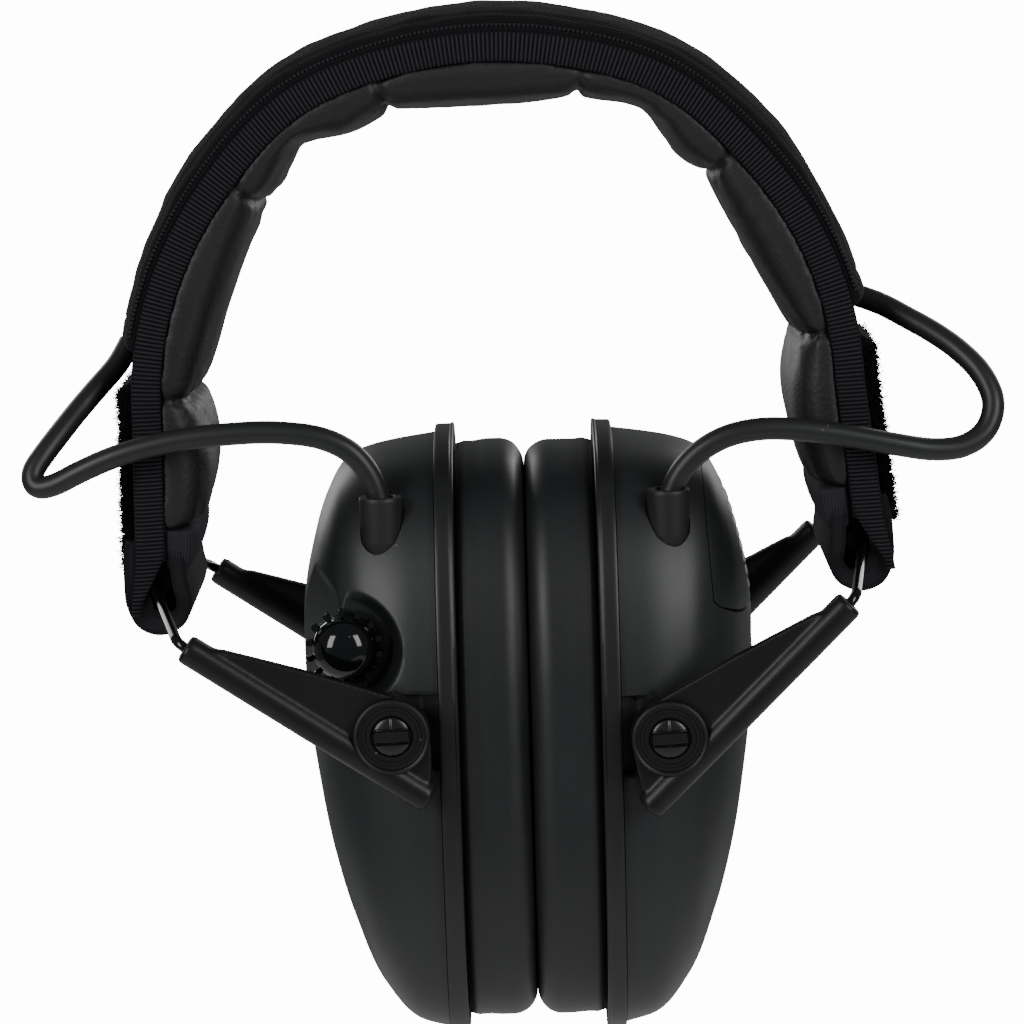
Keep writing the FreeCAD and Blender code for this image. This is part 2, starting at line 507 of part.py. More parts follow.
# ---------------------------------------------------------------- write
for name, shape in made.items():
    shape.exportStep("parts/%s.step" % name)
whole = Part.makeCompound(list(made.values())).BoundBox
print(len(made), "nodes;", "X %.1f..%.1f Y %.1f..%.1f Z %.1f..%.1f" % (
    whole.XMin, whole.XMax, whole.YMin, whole.YMax, whole.ZMin, whole.ZMax))
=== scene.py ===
# %% [markdown]
# # A folding electronic earmuff
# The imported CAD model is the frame: it fixes every place and size, and it moves the bodies. This lesson dresses it:
# the padded headband, its ribbon and twill cover, the moulded arms and cups, the soft ear cushions and the cables.
# All lengths in the cells are millimetres, and each mesh is turned into metres as it is made.

import json
import math

import bpy
import numpy as np
from mathutils import Matrix, Vector


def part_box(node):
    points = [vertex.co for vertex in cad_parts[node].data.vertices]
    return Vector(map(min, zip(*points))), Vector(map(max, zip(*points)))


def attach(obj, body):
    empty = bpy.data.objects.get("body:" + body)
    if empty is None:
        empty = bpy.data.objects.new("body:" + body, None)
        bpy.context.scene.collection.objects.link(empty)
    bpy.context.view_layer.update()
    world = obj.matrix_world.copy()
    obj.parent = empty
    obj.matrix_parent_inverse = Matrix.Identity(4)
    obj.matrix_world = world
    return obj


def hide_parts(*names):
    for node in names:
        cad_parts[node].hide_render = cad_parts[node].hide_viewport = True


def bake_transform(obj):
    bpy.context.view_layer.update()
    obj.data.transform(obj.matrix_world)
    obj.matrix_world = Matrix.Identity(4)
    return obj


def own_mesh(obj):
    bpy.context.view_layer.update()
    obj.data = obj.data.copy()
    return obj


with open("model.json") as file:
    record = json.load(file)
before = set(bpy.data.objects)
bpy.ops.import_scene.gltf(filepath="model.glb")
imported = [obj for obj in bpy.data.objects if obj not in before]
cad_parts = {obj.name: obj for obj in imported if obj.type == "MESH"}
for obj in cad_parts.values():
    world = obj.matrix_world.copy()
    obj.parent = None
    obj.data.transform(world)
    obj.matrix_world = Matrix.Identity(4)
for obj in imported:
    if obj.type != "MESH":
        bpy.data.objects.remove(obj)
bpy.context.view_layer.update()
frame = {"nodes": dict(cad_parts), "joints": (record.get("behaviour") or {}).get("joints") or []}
MM = 0.001
JOINTS = {j["name"]: j for j in frame["joints"]}
SIDES = {"left": -1, "right": 1}

# %% [markdown]
# ## Surfaces from arrays
# Nearly every piece here is a grid of points worked out by a formula: the first index runs along the piece and the
# second runs round it. One helper turns such a grid into a closed mesh, and gives cloth a UV map in millimetres, so
# that a weave keeps its real scale.


# %% Grid to mesh
def new_object(name, data):
    """Puts a mesh, a camera or a lamp into the scene."""
    thing = bpy.data.objects.new(name, data)
    bpy.context.scene.collection.objects.link(thing)
    return thing


def new_piece(name, points, faces):
    """Mesh object from points in mm."""
    mesh = bpy.data.meshes.new(name)
    mesh.from_pydata((np.asarray(points) * MM).tolist(), [], faces)
    return new_object(name, mesh)


def smooth(piece, sharp=None):
    """Smooth shading, but for the edges past the angle sharp, in degrees."""
    piece.data.shade_smooth()
    if sharp is not None:
        piece.data.set_sharp_from_angle(angle=math.radians(sharp))
    return piece


def outwards(piece):
    """Turns a closed mesh's faces outwards, going by the sign of its volume."""
    mesh = piece.data
    mesh.calc_loop_triangles()
    tri = np.empty(len(mesh.loop_triangles) * 3, int)
    mesh.loop_triangles.foreach_get("vertices", tri)
    a, b, c = np.moveaxis(coords(piece)[tri.reshape(-1, 3)], 1, 0)
    if np.einsum("ij,ij->i", a, np.cross(b, c)).sum() < 0:
        mesh.flip_normals()
    return piece


def closed(name, points, uv=None, sharp=None, ring=False):
    """Closed mesh, faces outwards, from a grid of points (n, m, 3) in mm whose rows go round it.

    A fan round their mean point caps the first and last rows, unless the rows make a ring. uv is a grid
    (n, m + 1, 2) in mm.
    """
    n, m = points.shape[:2]
    i, j = np.meshgrid(np.arange(n if ring else n - 1), np.arange(m), indexing="ij")
    i2, j2 = (i + 1) % n, (j + 1) % m
    faces = np.stack([i * m + j, i2 * m + j, i2 * m + j2, i * m + j2], -1).reshape(-1, 4).tolist()
    flat = points.reshape(-1, 3)
    if not ring:
        a, b = np.arange(m), (np.arange(m) + 1) % m
        for row, edge in ((0, (a, b)), (n - 1, (b, a))):
            faces += np.stack([np.full(m, len(flat)), edge[0] + row * m, edge[1] + row * m], -1).tolist()
            flat = np.vstack([flat, points[row].mean(0)])
    piece = new_piece(name, flat, faces)
    if uv is not None:
        corners = np.stack([uv[i, j], uv[i + 1, j], uv[i + 1, j + 1], uv[i, j + 1]], 2).reshape(-1, 2)
        caps = np.zeros((2 * 3 * m, 2))
        layer = piece.data.uv_layers.new(name="weave")
        layer.data.foreach_set("uv", np.concatenate([corners, caps]).ravel().astype(np.float32))
    piece.data.validate()
    return outwards(smooth(piece, sharp))


def joined(name, pieces):
    """One mesh from several pieces, each of which stays a closed shell of its own."""
    with bpy.context.temp_override(active_object=pieces[0], selected_editable_objects=pieces,
                                   selected_objects=pieces, object=pieces[0]):
        bpy.ops.object.join()
    pieces[0].name = pieces[0].data.name = name
    return pieces[0]


def dress(piece, material, body, node):
    """Gives a piece its material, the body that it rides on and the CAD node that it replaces."""
    piece.data.materials.clear()
    piece.data.materials.append(material)
    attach(piece, body)
    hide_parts(node)


def add_remesh(piece, voxel):
    """Modifier that melts a piece's parts into one skin; voxel is in mm."""
    remesh = piece.modifiers.new("remesh", "REMESH")
    remesh.mode, remesh.voxel_size = "VOXEL", voxel * MM


def finish_modifiers(piece):
    """Applies every modifier by evaluating the mesh."""
    graph = bpy.context.evaluated_depsgraph_get()
    mesh = bpy.data.meshes.new_from_object(piece.evaluated_get(graph))
    piece.modifiers.clear()
    old, piece.data = piece.data, mesh
    mesh.name = old.name
    bpy.data.meshes.remove(old)
    return piece


def coords(piece):
    """Vertices of a piece in mm."""
    co = np.empty(len(piece.data.vertices) * 3)
    piece.data.vertices.foreach_get("co", co)
    return co.reshape(-1, 3) / MM


def set_coords(piece, points):
    """Moves a piece's vertices to points in mm."""
    piece.data.vertices.foreach_set("co", (points * MM).ravel())
    piece.data.update()


def smoothstep(x, low, high):
    """0 below low, 1 above high and an S-shaped rise between."""
    t = np.clip((x - low) / (high - low), 0, 1)
    return t * t * (3 - 2 * t)


def within(distance, full, none):
    """1 up to the distance full, 0 past none and an S-shaped fall between."""
    return smoothstep(-np.abs(distance), -none, -full)


def hump(x, width):
    """A bell: 1 where x is 0, and 1 / e where x is the width."""
    return np.exp(-((x / width) ** 2))


def unit(v):
    """Vectors divided by their own lengths."""
    return v / np.linalg.norm(v, axis=-1, keepdims=True)


def circle(count):
    """Angles evenly round a circle."""
    return np.linspace(0, 2 * math.pi, count, endpoint=False)


def lengths(points):
    """Length along a line of points, from 0 at its start."""
    return np.concatenate([[0], np.cumsum(np.linalg.norm(np.diff(points, axis=0), axis=1))])


def at_lengths(points, length, t):
    """Points of a line at the lengths t along it."""
    return np.stack([np.interp(t, length, points[:, k]) for k in range(points.shape[1])], -1)


def soft_noise(p, scale, seed):
    """Smooth bumps from -1 to 1: the mean of six plane waves with seeded directions and phases."""
    rng = np.random.default_rng(seed)
    total = np.zeros(p.shape[:-1])
    for _ in range(6):
        direction = rng.normal(size=3)
        direction *= 2 * math.pi / (scale * np.linalg.norm(direction)) * rng.uniform(0.7, 1.3)
        total += np.sin(p @ direction + rng.uniform(0, 2 * math.pi))
    return total / 3.2


# %% [markdown]
# ## Materials
# Everything is black, so what tells the pieces apart is how each one breaks up the light. Each finish is a
# Principled shader with a bump pattern at its real scale, and a faint change of colour and roughness.


# %% Material helpers
def shader(name, colour, roughness, **sockets):
    """New material and its Principled node; the other sockets are given by name with _ for a space."""
    material = bpy.data.materials.new(name)
    material.use_nodes = True
    principled = material.node_tree.nodes["Principled BSDF"]
    principled.inputs["Base Color"].default_value = (*colour, 1)
    principled.inputs["Roughness"].default_value = roughness
    for socket, value in sockets.items():
        principled.inputs[socket.replace("_", " ")].default_value = value
    return material, principled


def add(material, kind, inputs=None, **settings):
    """Adds a node, sets its properties and its sockets, and links a socket where the value is a socket."""
    node = material.node_tree.nodes.new(kind)
    for key, value in settings.items():
        setattr(node, key, value)
    for socket, value in (inputs or {}).items():
        if isinstance(value, bpy.types.NodeSocket):
            material.node_tree.links.new(value, node.inputs[socket])
        else:
            node.inputs[socket].default_value = value
    return node


def place(material):
    """Object coordinates, in metres from the frame's origin."""
    return add(material, "ShaderNodeTexCoord").outputs["Object"]


def weave_uv(material):
    """The piece's own UV map, in mm."""
    return add(material, "ShaderNodeUVMap", uv_map="weave").outputs["UV"]


def noise(material, vector, scale, detail, roughness=0.5):
    """Noise whose grains are about 1 / scale metres across on Object coordinates."""
    return add(material, "ShaderNodeTexNoise", {"Vector": vector, "Scale": scale, "Detail": detail,
                                                "Roughness": roughness}).outputs["Fac"]


def arithmetic(material, operation, a, b):
    """One sum, product or comparison of two sockets or numbers."""
    return add(material, "ShaderNodeMath", {0: a, 1: b}, operation=operation).outputs[0]


def bump(material, principled, height, strength, distance):
    """Feeds a height into the shader's normal, on top of any bump that is already there."""
    node = add(material, "ShaderNodeBump", {"Height": height, "Strength": strength, "Distance": distance})
    socket = principled.inputs["Normal"]
    if socket.is_linked:
        material.node_tree.links.new(socket.links[0].from_socket, node.inputs["Normal"])
    material.node_tree.links.new(node.outputs["Normal"], socket)


def vary(material, principled, factor, dark, light, socket="Base Color"):
    """Runs a socket between two colours or two numbers with a factor."""
    if socket == "Base Color":
        mix = add(material, "ShaderNodeMix", {0: factor, 6: (*dark, 1), 7: (*light, 1)}, data_type="RGBA")
        result = mix.outputs[2]
    else:
        result = add(material, "ShaderNodeMapRange", {"Value": factor, "To Min": dark, "To Max": light}).outputs[0]
    material.node_tree.links.new(result, principled.inputs[socket])


def scaled(colour, factor):
    """A colour made darker or lighter."""
    return tuple(c * factor for c in colour)


# %% [markdown]
# ## The camera, first
# The earmuff hangs a little turned in front of a long lens. The camera looks down on it by nine degrees and is
# rolled by under four, which is how far the headband leans. It is placed by its own three axes.

# %% Camera
LENS_MM = 144.3
CAMERA_PITCH, CAMERA_ROLL = math.radians(9.2), math.radians(3.7)
CAMERA_PLACE = Vector((5.81, -747.14, 46.73))


def level_to_band(v):
    """Turns a direction or place from level axes into the band's own, by the roll."""
    c, s = math.cos(CAMERA_ROLL), math.sin(CAMERA_ROLL)
    return Vector((c * v[0] + s * v[2], v[1], -s * v[0] + c * v[2]))


camera_data = bpy.data.cameras.new("camera")
camera_data.lens, camera_data.sensor_width = LENS_MM, 36
camera_data.clip_start, camera_data.clip_end = 0.05, 50
camera = new_object("camera", camera_data)
right = level_to_band((1, 0, 0))
look = level_to_band((0, math.cos(CAMERA_PITCH), -math.sin(CAMERA_PITCH)))
up = right.cross(look)
turn = Matrix((right, up, -look)).transposed().to_4x4()
camera.matrix_world = Matrix.Translation(level_to_band(CAMERA_PLACE) * MM) @ turn
bpy.context.scene.camera = camera
print("camera at", [round(v, 3) for v in camera.location])


# %% [markdown]
# ## The headband's line
# Every layer of the band follows one line: an arch of half a circle and two straight legs. A place on it is given by
# a station, in mm along the line from the crown, a radius and a depth, and the same formula serves the cushion, the
# ribbon, the sleeve and the cover.

# %% Band line
ARCH_Z = -51.0
REFERENCE_R = 60.0
HALF_ARCH = REFERENCE_R * math.pi / 2
low_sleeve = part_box("band_sleeve")[0] / MM
BAND_HALF = -low_sleeve.y
TAB_TOP = low_sleeve.z


def ease(station):
    """How far the worn band stands outside its true arch, in mm: a little at thirty degrees, and the legs flare."""
    degrees = np.degrees(np.abs(station) / REFERENCE_R)
    flare = np.where(station > 0, 0.085, 0.055)
    return 1.25 * hump(degrees - 31, 13) + flare * np.maximum(np.abs(station) - HALF_ARCH, 0)


def band(station, radius, y):
    """Point of the band: on the arch it turns about the arch's centre, and past the arch's ends it goes down."""
    station, radius, y = np.broadcast_arrays(station, radius, y)
    radius = radius + ease(station)
    angle = np.clip(station / REFERENCE_R, -math.pi / 2, math.pi / 2)
    drop = np.maximum(np.abs(station) - HALF_ARCH, 0)
    return np.stack([radius * np.sin(angle), y, ARCH_Z + radius * np.cos(angle) - drop], -1)


def leg_station(z):
    """Station of a height on a leg."""
    return HALF_ARCH + ARCH_Z - z


SEAM_DEGS = (-86.5, -47.2, -17.2, 18.2, 46.8, 82.0)
LEG_SEAM_Z, CUSHION_END_Z = -71.0, -73.6
leg_seam = leg_station(LEG_SEAM_Z)
SEAMS = np.array([-leg_seam] + [math.radians(d) * REFERENCE_R for d in SEAM_DEGS] + [leg_seam])
CUSHION_END = leg_station(CUSHION_END_Z)
EDGES = np.concatenate([[-CUSHION_END], SEAMS, [CUSHION_END]])
print("seams at stations", SEAMS.round(1))

# %% [markdown]
# ## Leatherette for the head cushion
# Soft leatherette has a pebbled grain of about half a millimetre, a low sheen and fine creases where it is pulled
# into the seams. Voronoi cells make the pebbles and a slower noise makes the sheen uneven.


# %% Leatherette
def leatherette(name, colour, roughness, pebble, depth):
    """Pebble is the grain's size in mm and depth is its height in mm."""
    material, principled = shader(name, colour, roughness, Specular_IOR_Level=0.5)
    where = place(material)
    cells = add(material, "ShaderNodeTexVoronoi", {"Vector": where, "Scale": 1000 / pebble}, feature="SMOOTH_F1")
    slow = noise(material, where, 60.0, 4.0)
    fine = noise(material, where, 3500.0, 3.0)
    height = arithmetic(material, "ADD", cells.outputs["Distance"], arithmetic(material, "MULTIPLY", fine, 0.25))
    bump(material, principled, height, 0.6, depth * MM)
    vary(material, principled, slow, scaled(colour, 0.8), scaled(colour, 1.2))
    vary(material, principled, arithmetic(material, "ADD", arithmetic(material, "MULTIPLY", slow, 0.7),
                                          arithmetic(material, "MULTIPLY", cells.outputs["Distance"], 0.3)),
         roughness - 0.08, roughness + 0.1, "Roughness")
    return material


band_leather = leatherette("band_leatherette", (0.0075, 0.0072, 0.0090), 0.52, 0.75, 0.10)
ear_leather = leatherette("ear_leatherette", (0.0090, 0.0097, 0.0107), 0.46, 0.35, 0.015)

# %% [markdown]
# ## The head cushion
# One long foam pad is sewn across at eight seams, so it puffs up between them. It starts as a closed form with its
# sides pulled in at the seams. Cloth under pressure, held along the seams and on its back, then swells the lobes and
# gives them the slight unevenness of a real pad. After that each seam gets its sharp groove and puckers.

# %% Cushion form
CUSHION_BACK_R, LOBE_DEPTH, SEAM_LEFT = 60.8, 9.1, 5.4
CUSHION_HALF, CUSHION_POWER, END_ROUND = BAND_HALF - 0.4, 3.4, 4.0
HOLLOWS = ((-35.0, 3.9, 6.5), (30.0, 4.4, 8.0))           # degrees round, mm deep, degrees wide


def lobe_profile(station, power):
    """0 at the seams and 1 in the middle of a lobe, as a sine's arch raised to a power."""
    k = np.clip(np.searchsorted(EDGES, station, side="right") - 1, 0, len(EDGES) - 2)
    x = (station - EDGES[k]) / (EDGES[k + 1] - EDGES[k])
    return np.sin(np.pi * np.clip(x, 0, 1)) ** power


def cushion_form(rows=520, around=64):
    """Closed pad: flat against the sleeve, full width there, and rounded towards the head as half a superellipse."""
    station = np.linspace(-CUSHION_END, CUSHION_END, rows)
    depth = SEAM_LEFT + (LOBE_DEPTH - SEAM_LEFT) * lobe_profile(station, 0.5)
    past = (np.abs(station) - SEAMS[-1]) / (CUSHION_END - SEAMS[-1])
    depth = np.where(past > 0, SEAM_LEFT + 0.6 - 2.0 * past, depth)
    for degrees, deep, wide in HOLLOWS:
        depth -= deep * hump(np.degrees(station / REFERENCE_R) - degrees, wide)
    tip = np.clip((CUSHION_END - np.abs(station)) / END_ROUND, 0, 1)
    tip = np.sqrt(1 - (1 - tip) ** 2) * 0.97 + 0.03
    half = (CUSHION_HALF + 0.6 - 0.5 * (1 - lobe_profile(station, 0.5))) * (0.8 + 0.2 * tip)
    depth = depth * tip
    a = np.linspace(0, math.pi, around)
    c, s = np.cos(a), np.sin(a)
    across = np.concatenate([np.sign(c) * np.abs(c) ** (2 / CUSHION_POWER), np.linspace(-1, 1, 22)[1:-1]])
    inwards = np.concatenate([s ** (2 / CUSHION_POWER), np.zeros(20)])
    y = half[:, None] * across[None] * (1 - 0.01 * (1 - inwards[None]) ** 6)
    return band(station[:, None], CUSHION_BACK_R - depth[:, None] * inwards[None], y)


cushion = closed("head_cushion_pad", cushion_form())

# %% Swell the cushion with cloth
VOXEL, PRESSURE, CLOTH_FRAMES, MOST_SWELL = 1.4, 4.0, 20, 1.1


def station_of(p):
    """Station, radius and depth of points, the reverse of band()."""
    x, z = p[:, 0], p[:, 2] - ARCH_Z
    on_leg = z < 0
    angle = np.arctan2(x, np.maximum(z, 0))
    station = np.where(on_leg, np.sign(x) * (HALF_ARCH - z), angle * REFERENCE_R)
    radius = np.where(on_leg, np.abs(x), np.hypot(x, z))
    return station, radius - ease(station), p[:, 1]


def held_points(p):
    """Points that the cloth is held by: the pad's back, and a narrow line along each seam."""
    station, radius, _ = station_of(p)
    near_seam = np.abs(station[:, None] - EDGES[None]).min(1) < VOXEL * 0.8
    return np.flatnonzero((radius > CUSHION_BACK_R - 1.2) | near_seam).tolist()


def swell(piece):
    """Remeshes the pad, runs cloth under pressure and caps how far a point moves."""
    add_remesh(piece, VOXEL)
    finish_modifiers(piece)
    before = coords(piece)
    piece.vertex_groups.new(name="held").add(held_points(before), 1.0, "REPLACE")
    cloth = piece.modifiers.new("cloth", "CLOTH")
    settings = cloth.settings
    settings.quality, settings.mass = 6, 0.15
    settings.use_pressure, settings.uniform_pressure_force = True, PRESSURE
    settings.effector_weights.gravity = 0
    settings.vertex_group_mass = "held"
    cloth.collision_settings.use_collision = False
    for frame_number in range(1, CLOTH_FRAMES + 1):
        bpy.context.scene.frame_set(frame_number)
    finish_modifiers(piece)
    moved = coords(piece) - before
    length = np.linalg.norm(moved, axis=1, keepdims=True)
    set_coords(piece, before + moved * np.minimum(1, MOST_SWELL / np.maximum(length, 1e-9)))
    bpy.context.scene.frame_set(1)
    print(piece.name, "swelled by", length.mean().round(2), "mm on average, capped at", MOST_SWELL)


swell(cushion)
divide = cushion.modifiers.new("smooth", "SUBSURF")
divide.levels = divide.render_levels = 1
finish_modifiers(cushion)


# %% Seam grooves and puckers
def sew(p):
    """Pulls a narrow groove in along each seam, with puckers that fan out from it and fade over some 7 mm."""
    station, radius, y = station_of(p)
    gaps = station[:, None] - SEAMS[None]
    nearest = np.abs(gaps).argmin(1)
    gap = gaps[np.arange(len(gaps)), nearest]
    front = smoothstep(CUSHION_BACK_R - radius, 1.5, 4.0)
    groove = 1.1 * hump(gap, 0.8)
    stitches = 0.18 * hump(gap, 0.9) * np.cos(2 * math.pi * y / 2.6)
    fan = np.sin(2 * math.pi * (y + 0.35 * gap * np.sin(nearest * 2.1 + 1)) / 5.2 + 1.7 * nearest)
    pucker = 0.28 * fan * np.exp(-np.abs(gap) / 3.2) * smoothstep(np.abs(gap), 0.5, 1.6)
    wrinkle = 0.16 * soft_noise(p, 9.0, seed=4) + 0.30 * soft_noise(p, 26.0, seed=5)
    crease_lines = 0.14 * np.sin(2 * math.pi * (station * 0.35 + y * 0.08) / 2.4 + 3 * soft_noise(p, 20.0, seed=6))
    crease_lines *= smoothstep(soft_noise(p, 24.0, seed=7), 0.1, 0.8)
    inwards = front * (groove + stitches + pucker + wrinkle + crease_lines)
    x, z = p[:, 0], p[:, 2] - ARCH_Z
    length = np.where(z < 0, np.abs(x), np.hypot(x, z))
    out = np.stack([x / length, np.zeros_like(x), np.where(z < 0, 0, z / length)], -1)
    moved = p + out * inwards[:, None]
    moved[:, 1] *= 1 - 0.045 * hump(gap, 0.75)
    return moved


set_coords(cushion, sew(coords(cushion)))
dress(smooth(cushion), band_leather, "headband", "head_cushion")
print("head cushion", len(cushion.data.polygons), "faces")

# %% [markdown]
# ## Woven cloth, ribbon and pile
# The sleeve is plain dark cloth. The cover over the arch is a fine twill: the weave is drawn on the UV map, which is
# in millimetres, as diagonal ribs of 0.5 mm. The ribbon that binds each edge has real ribs, 0.72 mm apart. Every
# weave's colour carries painted shade in its hollows and a painted highlight on its ribs.


# %% Cloth materials
WAVE_LENGTH = 0.314          # of a wave texture of scale 1


def twill(name, colour, rib, depth, angle=0.9, painted_shade_pitch=None):
    """Twill: diagonal ribs, broken along their length by the weft. Its colour follows the bump as painted shade in
    the hollows and a painted highlight on the ribs; valleys, when given, is the pitch of real ribs whose valleys get
    painted shade and whose crests a painted highlight instead.
    """
    material, principled = shader(name, colour, 0.92, Specular_IOR_Level=0.12, Sheen_Weight=0.02, Sheen_Roughness=0.4)
    uv = weave_uv(material)
    scale = WAVE_LENGTH / rib
    ribs = add(material, "ShaderNodeVectorRotate", {"Vector": uv, "Angle": angle}, rotation_type="Z_AXIS").outputs[0]
    wave = add(material, "ShaderNodeTexWave", {"Vector": ribs, "Scale": scale, "Distortion": 0.6,
                                               "Detail": 2.0, "Detail Scale": 2.0}).outputs["Fac"]
    weft = add(material, "ShaderNodeTexWave", {"Vector": uv, "Scale": scale * 0.8, "Distortion": 0.4},
               bands_direction="Y").outputs["Fac"]
    height = arithmetic(material, "ADD", wave, arithmetic(material, "MULTIPLY", weft, 0.5))
    bump(material, principled, height, 0.8, depth * MM)
    if painted_shade_pitch:
        # Painted shade and highlight: the colour is darkened in the valleys between the real ribs and lightened on
        # their crests.
        factor = add(material, "ShaderNodeTexWave", {"Vector": uv, "Scale": WAVE_LENGTH / painted_shade_pitch,
                                                     "Phase Offset": math.pi}).outputs["Fac"]
        dark, light = 0.1, 2.1
    else:
        # Painted shade and highlight: the colour follows the bump's height, darker in the weave's hollows and lighter
        # on its ribs.
        factor, dark, light = arithmetic(material, "MULTIPLY", height, 0.66), 0.45, 1.5
    vary(material, principled, factor, scaled(colour, dark), scaled(colour, light))
    return material


cover_twill = twill("cover_twill", (0.0085, 0.0080, 0.0095), 0.55, 0.09)
sleeve_cloth = twill("sleeve_cloth", (0.010, 0.010, 0.011), 0.4, 0.05)
ribbon_cloth = twill("ribbon_cloth", (0.0150, 0.0135, 0.0170), 0.24, 0.03, angle=0.0, painted_shade_pitch=0.72)
tape_cloth = twill("tape_cloth", (0.016, 0.0155, 0.018), 0.4, 0.05)


def uv_grid(along, across):
    """UV map of a grid: mm along it, and mm round it."""
    return np.stack(np.broadcast_arrays(along[:, None], across[None, :]), -1)


# %% Sleeve, which ends under the tabs
def strip(name, stations, profile):
    """Sweeps a closed profile of (radius, y) along the band; profile may change with the station, as (n, m, 2)."""
    profile = np.broadcast_to(profile, (len(stations), *profile.shape[-2:]))
    points = band(stations[:, None], profile[..., 0], profile[..., 1])
    middle = profile[len(stations) // 2]
    return closed(name, points, uv_grid(stations, lengths(np.vstack([middle, middle[:1]]))))


def rounded_rectangle(r0, r1, half, corner, count=6):
    """Closed profile (radius, y) of a rectangle with rounded corners."""
    a = np.linspace(0, math.pi / 2, count)
    quarter = np.stack([np.cos(a), np.sin(a)], -1) * corner
    centres = [(r1 - corner, half - corner), (r0 + corner, half - corner),
               (r0 + corner, corner - half), (r1 - corner, corner - half)]
    turns = [quarter, np.stack([-quarter[:, 1], quarter[:, 0]], -1), -quarter,
             np.stack([quarter[:, 1], -quarter[:, 0]], -1)]
    return np.concatenate([turn + centre for turn, centre in zip(turns, centres)])


SLEEVE_IN, SLEEVE_OUT, SLEEVE_END = 60.2, 65.7, leg_station(TAB_TOP)
stations = np.linspace(-SLEEVE_END, SLEEVE_END, 260)
sleeve = strip("band_sleeve_cloth", stations, rounded_rectangle(SLEEVE_IN, SLEEVE_OUT, BAND_HALF - 0.1, 1.0))
dress(sleeve, sleeve_cloth, "headband", "band_sleeve")

# %% Domed cover over the arch
COVER_END = math.radians(79) * REFERENCE_R
COVER_IN, CROWN = 65.4, 3.5


def cover_profile(stations, count=56):
    """Cover: its outer face is domed, its edges are turned in, and its height dips slightly here and there."""
    across = np.linspace(-1, 1, count)
    lump = 0.22 * soft_noise(np.stack([stations, 0 * stations, 0 * stations], -1), 34.0, seed=11)
    tip = np.clip((COVER_END - np.abs(stations)) / 2.0, 0, 1)
    fuller = 1.25 * (1 - smoothstep(np.degrees(np.abs(stations) / REFERENCE_R), 48, 66))
    thick = (CROWN + lump + fuller) * np.sqrt(1 - (1 - tip) ** 2) * 0.9 + 0.35
    dome = (1 - np.abs(across) ** 3.2) ** 0.5
    half = BAND_HALF - 0.6
    outer_r = COVER_IN + thick[:, None] * (0.12 + 0.88 * dome[None])
    outer_y = np.broadcast_to(half * across, outer_r.shape)
    inner_r = np.full_like(outer_r, COVER_IN - 0.3)
    return np.concatenate([np.stack([outer_r, outer_y], -1), np.stack([inner_r, -outer_y], -1)], 1)


stations = np.linspace(-COVER_END, COVER_END, 420)
cover = strip("band_cover_twill", stations, cover_profile(stations))
p = coords(cover)
station, radius, y = station_of(p)
hem = 0.30 * hump(np.abs(y) - (BAND_HALF - 4.0), 0.45)
end_hem = 0.35 * hump(COVER_END - np.abs(station) - 4.5, 0.5)
ripple = 0.12 * soft_noise(p, 12.0, seed=12) + 0.10 * soft_noise(p, 6.0, seed=13)
outer = smoothstep(radius, 66.0, 67.0)
out = unit(np.stack([p[:, 0], 0 * y, p[:, 2] - ARCH_Z], -1))
set_coords(cover, p - out * ((hem + end_hem + ripple) * outer)[:, None])
dress(cover, cover_twill, "headband", "band_cover")

# %% Ribbon and piping on both edges
RIB_PITCH = 0.72
RIBBON_END = leg_station(-86.0)
RIBBON_LOW, RIBBON_HIGH = 60.4, 65.4
PIPING_R, PIPING_SIZE = 66.7, 0.30
STITCH_R, STITCH_SIZE, STITCH_SWING, STITCH_LENGTH = 60.75, 0.20, 0.28, 1.5


def ribbon_profile(stations, way, count=11):
    """Ribbon folded over the edge: ribs rise and fall along its length, and it narrows over the tabs."""
    rib = 0.5 + 0.5 * np.cos(2 * math.pi * stations / RIB_PITCH)
    past = smoothstep(np.abs(stations), leg_station(-74.0), RIBBON_END)
    r_low, r_high = RIBBON_LOW + 4.3 * past, RIBBON_HIGH + 1.0 * past
    across = np.linspace(0, 1, count)
    bow = np.sin(np.pi * across) ** 0.35
    height = 0.25 + (0.38 + 0.22 * rib[:, None]) * bow[None]
    face_y = way * (BAND_HALF - 0.1 + height)
    face_r = r_low[:, None] + (r_high - r_low)[:, None] * across[None]
    back_y = np.full_like(face_y, way * (BAND_HALF - 0.5))
    return np.concatenate([np.stack([face_r, face_y], -1), np.stack([face_r[:, ::-1], back_y], -1)], 1)


def edge_cord(name, way, r, size, y, end, zigzag=0.0, count=1200, around=8):
    """Thin cord along the band's edge: piping, or a zigzag thread that swings across the ribbon's inner edge."""
    stations = np.linspace(-end, end, count)
    a = circle(around)
    swing = zigzag * np.arcsin(np.sin(2 * math.pi * stations / STITCH_LENGTH)) * 2 / math.pi
    radius = r + swing[:, None] + size * np.cos(a)[None]
    points = band(stations[:, None], radius, way * (y + size * np.sin(a)[None]))
    return closed(name, points, uv_grid(stations, np.append(a, 2 * math.pi)))


for name, way in (("front", -1), ("rear", 1)):
    stations = np.arange(-RIBBON_END, RIBBON_END + 0.01, RIB_PITCH / 6)
    ribbon = strip(name + "_ribbon", stations, ribbon_profile(stations, way))
    piping = edge_cord(name + "_piping", way, PIPING_R, PIPING_SIZE, BAND_HALF - 0.85, COVER_END - 2.5)
    inner_edge = edge_cord(name + "_stitch_edge", way, STITCH_R, STITCH_SIZE, BAND_HALF + 0.2, SLEEVE_END - 2,
                           zigzag=STITCH_SWING)
    for piece in (ribbon, piping, inner_edge):
        dress(piece, ribbon_cloth, "headband", name + "_binding")
    print(name, "ribbon with", int(2 * RIBBON_END / RIB_PITCH), "ribs")

